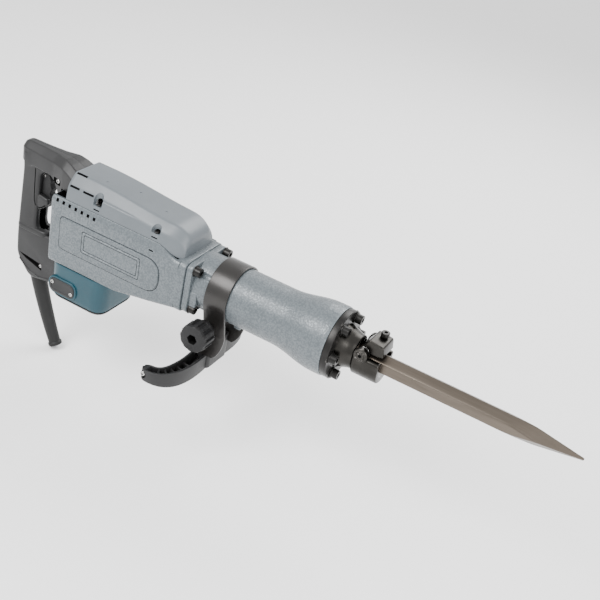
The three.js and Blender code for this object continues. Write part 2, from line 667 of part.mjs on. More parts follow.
/** Outer side line of the D: bar on top, grip behind, arm below. */
function handleOutline() {
  const shape = new THREE.Shape();
  shape.moveTo(-162, 250);
  shape.lineTo(HANDLE_FRONT, 251);
  shape.lineTo(HANDLE_FRONT, 166);
  shape.lineTo(-88, 178);
  shape.quadraticCurveTo(-94, 205, -106, 208);
  shape.lineTo(GRIP_FRONT, 204);
  shape.lineTo(-131, 104);
  shape.quadraticCurveTo(-126, 88, -110, 86);
  shape.lineTo(HANDLE_FRONT, 84);
  shape.lineTo(HANDLE_FRONT, 0);
  shape.lineTo(-100, -10);
  shape.lineTo(-138, -16);
  shape.quadraticCurveTo(-158, 0, -172, 24);
  shape.lineTo(-173, 70);
  shape.lineTo(-165, 205);
  shape.lineTo(GRIP_REAR - 2, 240);
  shape.quadraticCurveTo(-171, 248, -162, 250);
  return shape;
}

/** The bar's flared shoulders, wider where they meet the housing. */
function shoulders() {
  const section = (x, half, z0, z1) =>
    roundedLoop([-half, half], [z0, z1], 9, 4).map(([y, z]) => [x, y, z]);
  const foot = DECK_Z + GAP;
  const rear = loft([section(-140, 17, 214, 249.5), section(-95, 23, 206, 250), section(HANDLE_FRONT, 31, 172, 250)]);
  const deck = loft([section(-72, 31, foot, 250), section(-58, 33, foot, 247), section(-40.5, 36, foot, 238)]);
  return union(rear, deck);
}

function handleShell(side) {
  const whole = union(sidePlate(handleOutline(), -HANDLE_HALF, HANDLE_HALF, 6, 2), shoulders());
  const half = side > 0
    ? block([-200, 0], [GAP / 2, 60], [-40, 300])
    : block([-200, 0], [-60, -GAP / 2], [-40, 300]);
  const switchRoom = block([-162, -133], [-12, 12], [112, 200]);
  const triggerSlot = block([-150, -100], [-8.4, 8.4], [108, 205]);
  const cordRoom = block([-160, -118], [-8, 8], [-2, 113]);
  const guardSeat = cordGuardSeat();
  const buttonHole = rodY(-145, 150, 0, 30, 5.4, 16);
  const relief = block([-80, -60], [-30, 30], [184, 250]);
  return cut(whole.intersect(half), switchRoom, triggerSlot, cordRoom, guardSeat, buttonHole, relief);
}

const TRIGGER_X = -124;
const TRIGGER_Z = 197;

/** Long two-finger lever hinged at its upper end. */
function trigger() {
  const outline = polygon([
    [-129, 203], [-116, 203], [-109, 190], [-107, 150], [-112, 118], [-120, 116], [-131, 122], [-131, 190],
  ]);
  const body = sidePlate(outline, -8, 8, 2, 1);
  return cut(body, rodY(TRIGGER_X, TRIGGER_Z, -20, 20, 2.8, 12));
}

const triggerPin = () => rodY(TRIGGER_X, TRIGGER_Z, -8.2, 8.2, 2.5, 12);
const switchBody = () => block([-161, -140.5], [-11.5, 11.5], [126, 185]);
const lockButton = () => union(rodY(-145, 150, 15.5, 22.5, 5, 16), rodY(-145, 150, 22, 24, 6.6, 16));

/** Axis of the cord guard, leaving the foot of the grip and curving forward. */
const guardAxis = new THREE.QuadraticBezierCurve3(
  new THREE.Vector3(-138, 0, 12), new THREE.Vector3(-116, 0, -70), new THREE.Vector3(-79, 0, -148));

/** Rings along the guard's axis: radius as a function of the distance run. */
function guardLoops(radius, steps, sides = 10) {
  return Array.from({ length: steps + 1 }, (_, i) => {
    const t = i / steps;
    const centre = guardAxis.getPoint(t);
    const along = guardAxis.getTangent(t);
    const side = new THREE.Vector3(0, 1, 0);
    const up = new THREE.Vector3().crossVectors(along, side);
    return Array.from({ length: sides }, (_, k) => {
      const angle = (2 * Math.PI * k) / sides;
      return centre.clone()
        .addScaledVector(side, radius(t) * Math.cos(angle))
        .addScaledVector(up, radius(t) * Math.sin(angle))
        .toArray();
    });
  });
}

const guardRadius = (t) => (t > 0.97 ? 13 : 15.5 - 4.5 * t);
const cordGuardSeat = () => loft(guardLoops((t) => guardRadius(Math.min(t, 0.9)) + GAP, 12));
const cordGuard = () => cut(
  loft(guardLoops(guardRadius, 12)),
  loft(guardLoops(() => 5, 12).map((loop, i, all) => {
    const shift = i === 0 ? [-1, 0, 4] : i === all.length - 1 ? [2, 0, -4] : [0, 0, 0];
    return loop.map(([x, y, z]) => [x + shift[0], y + shift[1], z + shift[2]]);
  })));

// ---------------------------------------------------------------- clamp and side handle
const STRAP = 3.5;
const STRAP_R = BARREL_R + 0.6;
const STRAP_HALF_W = 21;
const LEG_Y = 45; // centre height where the legs leave the band sideways
const LEG_FOOT = BOW_TOP + GAP;

/** Steel strap over the barrel whose legs hang straight down on both sides. */
function clampBand() {
  const outer = STRAP_R + STRAP;
  const outline = new THREE.Shape();
  const lean = Math.PI / 9;
  outline.moveTo(-LEG_Y + 11 + STRAP, LEG_FOOT);
  outline.lineTo(-LEG_Y + 11, LEG_FOOT);
  outline.lineTo(-LEG_Y + 9, 70);
  outline.lineTo(outer * Math.cos(Math.PI + lean), AXIS_Z + outer * Math.sin(Math.PI + lean));
  outline.absarc(0, AXIS_Z, outer, Math.PI + lean, -lean, true);
  outline.lineTo(LEG_Y - 9, 70);
  outline.lineTo(LEG_Y - 11, LEG_FOOT);
  outline.lineTo(LEG_Y - 11 - STRAP, LEG_FOOT);
  outline.lineTo(LEG_Y - 9 - STRAP, 72);
  outline.lineTo(STRAP_R * Math.cos(-lean), AXIS_Z + STRAP_R * Math.sin(-lean));
  outline.absarc(0, AXIS_Z, STRAP_R, -lean, Math.PI + lean, false);
  outline.lineTo(-LEG_Y + 9 + STRAP, 72);
  const [rear, front] = [BAND_X - STRAP_HALF_W, BAND_X + STRAP_HALF_W];
  const side = new THREE.Shape();
  side.moveTo(rear, 220);
  side.lineTo(rear, LEG_FOOT);
  side.lineTo(front - 18, LEG_FOOT);
  side.quadraticCurveTo(front - 2, LEG_FOOT + 14, front, 70);
  side.lineTo(front, 220);
  const strap = crossPlate(outline, rear, front, 14).intersect(sidePlate(side, -60, 60));
  const hole = rodY(BOLT_X, BOLT_Z, -70, 70, BOLT_R + 0.4, 16);
  return cut(strap, hole);
}

/** Centre line of one arm of the bow, from the middle to the tip, in plan. */
const bowArm = (side) => new THREE.CubicBezierCurve3(
  new THREE.Vector3(249, side * 15, 0), new THREE.Vector3(257, side * 79, 0),
  new THREE.Vector3(251, side * 128, 0), new THREE.Vector3(200, side * 119, 0));

/** Outline of the bow in plan: the two arms offset by a thickness that tapers to the tips. */
function bowOutline(inset) {
  const steps = 10;
  const sideOf = (side, sign) => Array.from({ length: steps + 1 }, (_, i) => {
    const t = i / steps;
    const point = bowArm(side).getPoint(t);
    const along = bowArm(side).getTangent(t);
    const half = 14 - 4 * t - inset;
    const stretch = t === 1 ? -inset : 0;
    return [
      point.x - sign * side * half * along.y * -1 + stretch * along.x,
      point.y + sign * side * half * along.x * -1 + stretch * along.y,
    ];
  });
  return [
    ...sideOf(1, 1), ...sideOf(1, -1).reverse(),
    ...sideOf(-1, -1), ...sideOf(-1, 1).reverse(),
  ];
}

/** Moulded bow: a channel open at the top with cross ribs, solid at the middle and tips. */
function sideBow() {
  const body = floorPlate(polygon(bowOutline(0)), BOW_BOTTOM, BOW_TOP);
  const channel = floorPlate(polygon(bowOutline(4)), BOW_BOTTOM + 6, BOW_TOP + 5);
  const middle = block([243, 276], [-30, 30], [BOW_BOTTOM + 4, LEG_FOOT + 25]);
  const ribs = [-1, 1].flatMap((side) => [0.42, 0.56, 0.7, 0.84].map((t) => {
    const point = bowArm(side).getPoint(t);
    const along = bowArm(side).getTangent(t);
    const turn = THREE.MathUtils.radToDeg(Math.atan2(along.y, along.x));
    return block([-1.2, 1.2], [-9.5, 9.5], [BOW_BOTTOM + 5, BOW_TOP - 3]).rotate([0, 0, turn])
      .translate(point.x, point.y, 0);
  }));
  return union(cut(body, channel), middle, ...ribs);
}

const clampBolt = () => union(
  rodY(BOLT_X, BOLT_Z, -64, 43, BOLT_R, 16),
  rodY(BOLT_X, BOLT_Z, 42, 48, 9.2, 6));

/** Fluted hand knob with a hexagon recess. */
function clampKnob() {
  const lobes = 12;
  const outline = new THREE.Shape();
  const steps = lobes * 4;
  for (let i = 0; i < steps; i += 1) {
    const angle = (2 * Math.PI * i) / steps;
    const r = 24 + (i % 4 < 2 ? 1 : -1);
    const method = i === 0 ? 'moveTo' : 'lineTo';
    outline[method](r * Math.cos(angle), r * Math.sin(angle));
  }
  const body = sidePlate(outline, -88, -54, 2, 1).translate(BOLT_X, 0, BOLT_Z);
  const skirt = rodY(BOLT_X, BOLT_Z, -54.5, -43, 14, 24);
  const recess = rodY(BOLT_X, BOLT_Z, -92, -68, 9.5, 6);
  const bore = rodY(BOLT_X, BOLT_Z, -92, -40, BOLT_R + 0.3, 16);
  return cut(union(body, skirt), recess, bore);
}

// ---------------------------------------------------------------- put together
addPart('main_housing', mainHousing(), hammeredPaint);
addPart('top_cover', topCover(), greyPlastic);
addPart('cylinder_case', cylinderCase(), hammeredPaint);
addPart('front_cover', frontCover(), gunmetal);
addPart('retainer_block', retainer(), blackSteel);
addPart('latch_lever', latch(), gunmetal);
addPart('latch_pin', latchPin(), brightSteel);
addPart('latch_bolt', latchBolt(), blackSteel);
addPart('latch_spring', latchSpring(), brightSteel);
addPart('chisel', chisel(), forgedSteel);

addPart('cylinder_liner', cylinderLiner(), brightSteel);
addPart('piston', piston(), aluminium);
addPart('striker', striker(), brightSteel);
addPart('anvil_bush', anvilBush(), gunmetal);
addPart('anvil', anvil(), brightSteel);
addPart('nose_damper', noseDamper(), blackRubber);
addPart('hex_bush', hexBush(), brightSteel);

addPart('gear_plate', gearPlate(), aluminium);
addPart('crank_bearing', bearing(CRANK_X, PLATE_Z, 9, 12.3, 21), brightSteel);
addPart('motor_bearing_upper', bearing(0, PLATE_Z, 9, 6.3, 13), brightSteel);
addPart('motor_bearing_lower', bearing(0, 12 + GAP, 9, 5.3, 12.9), brightSteel);
addPart('armature_shaft', armatureShaft(), brightSteel);
addPart('armature_core', armatureCore(), laminations);
addPart('commutator', commutator(), copper);
addPart('fan', fan(), blackPlastic);
addPart('stator', stator(), laminations);
addPart('lay_gear', layGear(), brightSteel);
addPart('crank_wheel', crankWheel(), brightSteel);
addPart('crankshaft', crankshaft(), brightSteel);
addPart('connecting_rod', connectingRod(), brightSteel);
addPart('wrist_pin', wristPin(), brightSteel);

addPart('tail_cover', tailCover(), tealPlastic);
addPart('tail_foot', tailFoot(), blackRubber);
for (const [label, side] of [['right', -1], ['left', 1]]) {
  addPart(`brush_cover_${label}`, brushCover(side), blackPlastic);
  addPart(`brush_holder_${label}`, brushHolder(side), copper);
  addPart(`carbon_brush_${label}`, carbonBrush(side), carbon);
  addPart(`handle_shell_${label}`, handleShell(side), blackPlastic);
}
addPart('trigger', trigger(), blackPlastic);
addPart('trigger_pin', triggerPin(), brightSteel);
addPart('switch_body', switchBody(), blackPlastic);
addPart('lock_button', lockButton(), blackPlastic);
addPart('cord_guard', cordGuard(), blackRubber);

addPart('clamp_band', clampBand(), blackSteel);
addPart('side_bow', sideBow(), blackPlastic);
addPart('clamp_bolt', clampBolt(), blackSteel);
addPart('clamp_knob', clampKnob(), blackPlastic);

flangeBoltSpots().forEach(([y, z], i) => {
  addPart(`flange_bolt_${i + 1}`, capScrew(HOUSING_FRONT + GAP + 12 + GAP, 22, FLANGE_BOLT_R, y, z, 1.5), blackSteel);
});
for (let i = 0; i < NOSE_BOLTS; i += 1) {
  const [y, z] = noseBoltSpot(i);
  addPart(`nose_bolt_${i + 1}`, capScrew(COVER_PLATE_FRONT + GAP, 9, NOSE_BOLT_R, y, z, 2.5), blackSteel);
}

export default jackhammer;
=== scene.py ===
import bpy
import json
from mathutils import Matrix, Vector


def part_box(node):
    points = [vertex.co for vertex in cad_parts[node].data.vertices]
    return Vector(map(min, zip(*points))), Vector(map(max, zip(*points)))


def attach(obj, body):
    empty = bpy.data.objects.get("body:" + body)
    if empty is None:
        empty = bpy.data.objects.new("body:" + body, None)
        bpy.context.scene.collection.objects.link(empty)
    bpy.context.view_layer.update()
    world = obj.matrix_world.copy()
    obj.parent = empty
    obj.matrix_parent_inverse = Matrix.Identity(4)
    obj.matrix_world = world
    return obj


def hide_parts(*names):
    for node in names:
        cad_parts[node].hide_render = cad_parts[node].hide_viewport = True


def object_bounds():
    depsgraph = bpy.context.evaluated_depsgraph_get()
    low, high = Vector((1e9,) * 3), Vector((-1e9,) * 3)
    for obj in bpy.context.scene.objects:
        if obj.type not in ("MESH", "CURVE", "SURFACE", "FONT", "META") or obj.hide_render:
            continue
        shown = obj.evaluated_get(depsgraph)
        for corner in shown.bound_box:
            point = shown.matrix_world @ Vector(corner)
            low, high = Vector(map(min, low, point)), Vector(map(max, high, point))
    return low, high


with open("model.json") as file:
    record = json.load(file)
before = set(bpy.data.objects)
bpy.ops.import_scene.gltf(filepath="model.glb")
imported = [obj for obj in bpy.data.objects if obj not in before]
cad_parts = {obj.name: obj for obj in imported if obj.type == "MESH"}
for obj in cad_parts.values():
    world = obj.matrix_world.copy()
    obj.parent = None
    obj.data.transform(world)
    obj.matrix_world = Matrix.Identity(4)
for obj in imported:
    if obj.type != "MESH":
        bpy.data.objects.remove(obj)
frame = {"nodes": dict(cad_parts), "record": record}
cad_bounds = [list(map(float, corner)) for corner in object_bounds()]

import json

import bmesh
import bpy
import numpy as np
from mathutils import Matrix

MM = 0.001

# %% [markdown]
# ## Camera, light and floor
#
# The tool is seen from its right side, from the front and from above, as on a product page. A long lens keeps
# its lines nearly parallel. The camera's own axes are written down as two directions, and the third follows
# from them. Large soft lamps give the broad highlights of a studio tent.
# %% Camera
CAMERA_AT = (0.91704, -1.25633, 1.01030)
CAMERA_RIGHT = (0.8557, 0.4809, 0.1910)
CAMERA_UP = (-0.4008, 0.3826, 0.8324)


def camera_matrix(at, right, up):
    """Columns are right, up and backwards: backwards is right x up, and up is made square to both."""
    right = np.array(right) / np.linalg.norm(right)
    back = np.cross(right, up)
    back /= np.linalg.norm(back)
    turned = np.eye(4)
    turned[:3, :3] = np.column_stack([right, np.cross(back, right), back])
    turned[:3, 3] = at
    return Matrix(turned.tolist())


camera = bpy.data.objects.new("camera", bpy.data.cameras.new("camera"))
camera.data.lens = 60
camera.data.sensor_width = 36
camera.data.clip_end = 20
camera.matrix_world = camera_matrix(CAMERA_AT, CAMERA_RIGHT, CAMERA_UP)
bpy.context.scene.collection.objects.link(camera)
bpy.context.scene.camera = camera
print("camera at", CAMERA_AT)


# %% Lamps and world
def soft_lamp(name, at, aim, size, watts):
    """A square area lamp of the given size whose -Z axis points from at to aim."""
    lamp = bpy.data.objects.new(name, bpy.data.lights.new(name, "AREA"))
    lamp.data.energy = watts
    lamp.data.size = size
    back = np.subtract(at, aim)
    side = np.cross((0.0, 0.0, 1.0), back)
    lamp.matrix_world = camera_matrix(at, side, np.cross(back, side))
    bpy.context.scene.collection.objects.link(lamp)


TARGET = (0.3, 0.0, 0.1)
soft_lamp("key_lamp", (-0.6, -1.5, 2.0), TARGET, 1.3, 78)
soft_lamp("front_lamp", (1.9, -1.0, 1.0), TARGET, 1.0, 24)
soft_lamp("rim_lamp", (0.4, 1.7, 1.6), TARGET, 1.4, 40)
world = bpy.data.worlds.new("studio")
world.use_nodes = True
world.node_tree.nodes["Background"].inputs["Color"].default_value = (1.0, 1.0, 1.0, 1.0)
world.node_tree.nodes["Background"].inputs["Strength"].default_value = 1.5
bpy.context.scene.world = world
print("three soft lamps in a white studio")

# %% [markdown]
# ## Surfaces from arrays
#
# A shape here is a grid of points: rows run along the piece and columns run round it. One function turns a
# grid into a closed mesh, and a few others work out grids: a turned profile, a plate with rounded edges and
# a section carried along a path. Everything is worked out on whole arrays, so a finer piece costs
# no more code.

# %% Closed loops
SIDES = {"right": -1, "left": 1}


def quadratic(start, bend, end, t):
    """(1 - t)^2 start + 2t(1 - t) bend + t^2 end: leaves start towards bend and arrives at end from bend."""
    return (1 - t) ** 2 * start + 2 * t * (1 - t) * bend + t ** 2 * end


def rounded(corners, radius, steps=6):
    """Each corner becomes a quadratic curve from radius before it to radius after it.

    corners is (..., k, 2) and radius one number or k of them; the result is (..., k * steps, 2)."""
    corners = np.asarray(corners, float)
    radius = np.broadcast_to(radius, corners.shape[:-1])[..., None]
    before = np.roll(corners, 1, axis=-2) - corners
    after = np.roll(corners, -1, axis=-2) - corners
    start = corners + radius * before / np.linalg.norm(before, axis=-1, keepdims=True)
    end = corners + radius * after / np.linalg.norm(after, axis=-1, keepdims=True)
    t = np.linspace(0, 1, steps)[:, None]
    curve = quadratic(start[..., None, :], corners[..., None, :], end[..., None, :], t)
    return curve.reshape(*corners.shape[:-2], -1, 2)


def ring(radius, count):
    """Points at even angles on a circle: radius times cosine and sine of the angle."""
    angle = np.linspace(0, 2 * np.pi, count, endpoint=False)
    return np.column_stack([radius * np.cos(angle), radius * np.sin(angle)])


def rectangle(a0, a1, b0, b1, radius, steps=6):
    """The four corners of a rectangle, rounded."""
    return rounded([(a0, b0), (a1, b0), (a1, b1), (a0, b1)], radius, steps)


def grown(loop, distance):
    """Moves each point of a loop outwards along the normal, found from its two neighbours."""
    along = np.roll(loop, -1, axis=-2) - np.roll(loop, 1, axis=-2)
    normal = np.stack([along[..., 1], -along[..., 0]], axis=-1)
    normal /= np.linalg.norm(normal, axis=-1, keepdims=True) + 1e-9
    area = np.sum(loop[..., 0] * np.roll(loop[..., 1], -1, axis=-1)
                  - loop[..., 1] * np.roll(loop[..., 0], -1, axis=-1), axis=-1)
    return loop + normal * distance * np.sign(area)[..., None, None]


def shrunk(loop, inset):
    """Scales a loop about the middle of its box, so that each side of the box moves in by inset."""
    low, high = loop.min(axis=-2, keepdims=True), loop.max(axis=-2, keepdims=True)
    middle, half = (low + high) / 2, (high - low) / 2
    return middle + (loop - middle) * (half - np.asarray(inset, float)) / half


print("a ring of six points:", ring(1.0, 6).round(2).tolist())

# %% Grids from loops
AXES = {"X": (1, 2, 0), "Y": (0, 2, 1), "Z": (0, 1, 2)}
EDGE_STEPS = 4


def placed(loops, heights, axis):
    """Puts (rows, n, 2) loops at their heights along an axis, as an array of points (rows, n, 3)."""
    first, second, along = AXES[axis]
    grid = np.empty((*loops.shape[:2], 3))
    grid[..., first] = loops[..., 0]
    grid[..., second] = loops[..., 1]
    grid[..., along] = np.asarray(heights)[:, None]
    return grid


def outlines(*corners):
    """Stacks corners, each a pair of numbers or arrays (across, up) over the rows, as (rows, corners, 2)."""
    return np.stack([np.stack(np.broadcast_arrays(*corner), axis=-1) for corner in corners], axis=1)


def plate(loop, low, high, axis, edge, low_edge=None, inward=shrunk):
    """A loop carried from low to high whose edges are quarter circles: edge at high, low_edge at low."""
    low_edge = edge if low_edge is None else low_edge
    turn = np.linspace(0, np.pi / 2, EDGE_STEPS + 1)
    heights = np.concatenate([low + low_edge * (1 - np.cos(turn)), high - edge * (1 - np.sin(turn))])
    insets = np.concatenate([low_edge * (1 - np.sin(turn)), edge * (1 - np.cos(turn))])
    return placed(np.stack([inward(loop, inset) for inset in insets]), heights, axis)


def side_plate(loop, side, near, far, far_edge=0.3, near_edge=0.3, inward=shrunk):
    """A plate between two distances from the middle plane, on the right (-1) or the left (1)."""
    if side > 0:
        return plate(loop, near, far, "Y", far_edge, near_edge, inward)
    return plate(loop, -far, -near, "Y", near_edge, far_edge, inward)


print("a plate of a square has", plate(rectangle(0, 9, 0, 9, 1), 0, 4, "Z", 1).shape, "points")

# %% Turned and swept grids
SIDEWAYS = np.array([0.0, 1.0, 0.0])


def lathe(profile, axis, centre, count=72):
    """A profile of (height, radius) points turned round an axis through centre."""
    profile = np.asarray(profile, float)
    loops = profile[:, 1, None, None] * ring(1.0, count) + np.asarray(centre)
    return placed(loops, profile[:, 0], axis)


def softened(profile, radius, steps=4):
    """An open profile whose inner corners are rounded and whose two ends stay put."""
    profile = np.asarray(profile, float)
    reach = np.linalg.norm(np.diff(profile, axis=0), axis=1) * 0.45
    size = np.minimum(np.minimum(reach[:-1], reach[1:]), radius)
    whole = rounded(profile, np.concatenate([[0], size, [0]]), steps)
    return whole[steps - 1:len(whole) - steps + 1]


def bore(low, high, radius, axis, centre, count=72):
    """A straight round bar from low to high, mostly used to cut a hole; six points make it a hexagon."""
    return lathe([(low, 0), (low, radius), (high, radius), (high, 0)], axis, centre, count)


def boss(low, high, radius, soft, axis, centre, count=72):
    """A disc from low to high whose two rims are rounded by soft."""
    return lathe(softened([(low, 0), (low, radius), (high, radius), (high, 0)], soft), axis, centre, count)


def swept(path, sections):
    """Carries one section (n, 2), or one for each point (rows, n, 2), along a path of points.

    A section's first axis is Y made square to the path, and its second is the first axis x the path's
    direction."""
    path = np.asarray(path, float)
    along = np.gradient(path, axis=0)
    along /= np.linalg.norm(along, axis=1, keepdims=True)
    first = SIDEWAYS - along * (along @ SIDEWAYS)[:, None]
    first /= np.linalg.norm(first, axis=1, keepdims=True)
    second = np.cross(first, along)
    return path[:, None] + sections[..., 0, None] * first[:, None] + sections[..., 1, None] * second[:, None]


def smooth_step(x, low, high):
    """Runs from 0 at low to 1 at high along 3t^2 - 2t^3."""
    t = np.clip((np.asarray(x, float) - low) / (high - low), 0, 1)
    return t * t * (3 - 2 * t)


print("surface helpers ready")

# %% From grids to meshes
WELD = 1e-6
SHARP_ANGLE = 32


def shell_faces(rows, count, wrap):
    """Quads between neighbouring rows, and an end face on the first and last row unless they wrap."""
    row = np.arange(rows if wrap else rows - 1)[:, None]
    column = np.arange(count)[None, :]
    here = row * count + column
    beside = row * count + (column + 1) % count
    next_row = [(index + count) % (rows * count) for index in (beside, here)]
    quads = np.stack([here, beside, *next_row], axis=-1).reshape(-1, 4).tolist()
    if wrap:
        return quads
    last = (rows - 1) * count
    return quads + [list(range(count))[::-1], list(range(last, last + count))]


def mesh_of(name, shells, wrap=False):
    """Joins closed shells, each a grid in millimetres, into one mesh with its faces pointing out."""
    points, faces, offset = [], [], 0
    for grid in shells:
        rows, count = grid.shape[:2]
        points.append(grid.reshape(-1, 3))
        faces += [[index + offset for index in face] for face in shell_faces(rows, count, wrap)]
        offset += rows * count
    mesh = bpy.data.meshes.new(name)
    mesh.from_pydata((np.concatenate(points) * MM).tolist(), [], faces)
    tidy = bmesh.new()
    tidy.from_mesh(mesh)
    bmesh.ops.remove_doubles(tidy, verts=tidy.verts, dist=WELD)
    bmesh.ops.dissolve_degenerate(tidy, edges=tidy.edges, dist=WELD / 10)
    bmesh.ops.recalc_face_normals(tidy, faces=tidy.faces)
    tidy.to_mesh(mesh)
    tidy.free()
    return mesh


def shade(mesh):
    """Smooth shading, kept sharp where two faces meet at more than the sharp angle."""
    mesh.polygons.foreach_set("use_smooth", np.ones(len(mesh.polygons), bool))
    mesh.set_sharp_from_angle(angle=np.radians(SHARP_ANGLE))


def solid(name, shells, finish, wrap=False):
    """An object at the origin that holds these shells in one finish."""
    shells = [shells] if isinstance(shells, np.ndarray) else shells
    thing = bpy.data.objects.new(name, mesh_of(name, shells, wrap))
    thing.data.materials.append(finish)
    bpy.context.scene.collection.objects.link(thing)
    shade(thing.data)
    return thing


def combine(thing, shells, finish, operation="DIFFERENCE", wrap=False):
    """Cuts shells out of a piece, or joins them to it; cut faces take the given finish."""
    tool = solid("tool", shells, finish, wrap)
    step = thing.modifiers.new("combine", "BOOLEAN")
    step.operation = operation
    step.solver = "EXACT"
    step.material_mode = "TRANSFER"
    step.object = tool
    made = bpy.data.meshes.new_from_object(thing.evaluated_get(bpy.context.evaluated_depsgraph_get()))
    thing.modifiers.clear()
    thing.data = made
    bpy.data.objects.remove(tool)
    shade(made)


def belongs(thing, body, slot, *nodes):
    """Puts a piece on its body and lets it stand for its CAD nodes; the slot argument is not used."""
    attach(thing, body)
    if nodes:
        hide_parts(*nodes)
    print(thing.name, len(thing.data.polygons), "faces for", nodes or "no node")


def box_of(node):
    """Lowest and highest corner of a CAD node, in millimetres."""
    low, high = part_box(node)
    return np.array(low) / MM, np.array(high) / MM


def middle_of(node):
    """Middle of a CAD node's box, in millimetres."""
    low, high = box_of(node)
    return (low + high) / 2


print("mesh helpers ready")

# %% [markdown]
# ## Finishes
#
# A finish is a shader whose colour, roughness and bump change over the surface as the real one does. Three
# effects are node groups with named sockets, so that each is drawn once and several finishes can use it:
# hammered enamel, moulded grain and worn edges. The groups only give colours and values. Each material keeps
# its own Principled shader and sets the values that are the same all over on that shader's sockets.


# %% Node helpers
def add_node(tree, kind, **settings):
    """Adds a node; a setting is a property of the node or, with its spaces as _, one of its inputs."""
    made = tree.nodes.new(kind)
    for name, value in settings.items():
        if hasattr(made, name):
            setattr(made, name, value)
        else:
            made.inputs[name.replace("_", " ")].default_value = value
    return made


def new_group(name, inputs, outputs):
    """A group with these sockets, each (name, kind, default). Returns its tree and its two end nodes."""
    tree = bpy.data.node_groups.new(name, "ShaderNodeTree")
    for label, kind, value in inputs:
        socket = tree.interface.new_socket(label, in_out="INPUT", socket_type="NodeSocket" + kind)
        socket.default_value = value
    for label, kind in outputs:
        tree.interface.new_socket(label, in_out="OUTPUT", socket_type="NodeSocket" + kind)
    return tree, tree.nodes.new("NodeGroupInput"), tree.nodes.new("NodeGroupOutput")


def mix_colour(tree, factor, first, second):
    """First at factor 0 and second at 1; each is a socket or a plain value. Returns the result socket."""
    made = add_node(tree, "ShaderNodeMix", data_type="RGBA", blend_type="MIX")
    for socket, value in ((made.inputs[0], factor), (made.inputs[6], first), (made.inputs[7], second)):
        if isinstance(value, bpy.types.NodeSocket):
            tree.links.new(value, socket)
        else:
            socket.default_value = value
    return made.outputs[2]


def ranged(tree, value, low, high, to_low, to_high):
    """Maps a value's range onto another with a smooth curve. Returns the result socket."""
    made = add_node(tree, "ShaderNodeMapRange", interpolation_type="SMOOTHSTEP", From_Min=low,
                    From_Max=high, To_Min=to_low, To_Max=to_high)
    tree.links.new(value, made.inputs["Value"])
    return made.outputs["Result"]


def product(tree, first, second):
    """First times second, both value sockets. Returns the result socket."""
    made = add_node(tree, "ShaderNodeMath", operation="MULTIPLY")
    tree.links.new(first, made.inputs[0])
    tree.links.new(second, made.inputs[1])
    return made.outputs[0]


def noise(tree, scale, detail=3.0, stretch=(1.0, 1.0, 1.0), rough=0.55):
    """Noise on Object coordinates, stretched along an axis whose stretch is under one."""
    where = add_node(tree, "ShaderNodeTexCoord")
    mapping = add_node(tree, "ShaderNodeMapping", Scale=stretch)
    made = add_node(tree, "ShaderNodeTexNoise", Scale=scale, Detail=detail, Roughness=rough)
    tree.links.new(where.outputs["Object"], mapping.inputs["Vector"])
    tree.links.new(mapping.outputs["Vector"], made.inputs["Vector"])
    return made.outputs["Fac"]


print("node helpers ready")


# %% Hammered enamel group
def hammered_group():
    """Rounded cells a few millimetres wide: raised and lighter in the middle, darker in the net between."""
    tree, ends, out = new_group(
        "hammered_enamel",
        [("Crown", "Color", (0.5, 0.5, 0.5, 1)), ("Net", "Color", (0.2, 0.2, 0.2, 1)),
         ("Cell", "Float", 400.0)],
        [("Colour", "Color"), ("Height", "Float"), ("Roughness", "Float")])
    where = add_node(tree, "ShaderNodeTexCoord")
    bend = add_node(tree, "ShaderNodeTexNoise", Scale=150.0, Detail=2.0)
    shift = add_node(tree, "ShaderNodeVectorMath", operation="MULTIPLY_ADD")
    shift.inputs[1].default_value = (0.004, 0.004, 0.004)
    cells = add_node(tree, "ShaderNodeTexVoronoi", feature="SMOOTH_F1", Smoothness=0.55)
    tree.links.new(where.outputs["Object"], bend.inputs["Vector"])
    tree.links.new(bend.outputs["Color"], shift.inputs[0])
    tree.links.new(where.outputs["Object"], shift.inputs[2])
    tree.links.new(shift.outputs["Vector"], cells.inputs["Vector"])
    tree.links.new(ends.outputs["Cell"], cells.inputs["Scale"])
    crown = ranged(tree, cells.outputs["Distance"], 0.2, 0.75, 1.0, 0.0)
    patches = ranged(tree, noise(tree, 55.0, 4.0), 0.3, 0.7, 0.55, 1.0)
    amount = product(tree, crown, patches)
    tree.links.new(mix_colour(tree, amount, ends.outputs["Net"], ends.outputs["Crown"]), out.inputs["Colour"])
    tree.links.new(crown, out.inputs["Height"])
    tree.links.new(ranged(tree, amount, 0.0, 1.0, 0.5, 0.27), out.inputs["Roughness"])
    return tree


# %% Grain and wear groups
def grain_group():
    """Fine noise for height and for roughness, with slow cloudy changes of shade."""
    tree, ends, out = new_group(
        "moulded_grain",
        [("Colour", "Color", (0.5, 0.5, 0.5, 1)), ("Shade", "Color", (0.3, 0.3, 0.3, 1)),
         ("Rough_low", "Float", 0.35), ("Rough_high", "Float", 0.6)],
        [("Colour", "Color"), ("Height", "Float"), ("Roughness", "Float")])
    fine = noise(tree, 1400.0, 2.0)
    cloud = noise(tree, 22.0, 5.0)
    tree.links.new(mix_colour(tree, ranged(tree, cloud, 0.35, 0.7, 0.0, 0.6), ends.outputs["Colour"],
                              ends.outputs["Shade"]), out.inputs["Colour"])
    blend = add_node(tree, "ShaderNodeMapRange")
    tree.links.new(cloud, blend.inputs["Value"])
    tree.links.new(ends.outputs["Rough_low"], blend.inputs["To Min"])
    tree.links.new(ends.outputs["Rough_high"], blend.inputs["To Max"])
    tree.links.new(fine, out.inputs["Height"])
    tree.links.new(blend.outputs["Result"], out.inputs["Roughness"])
    return tree


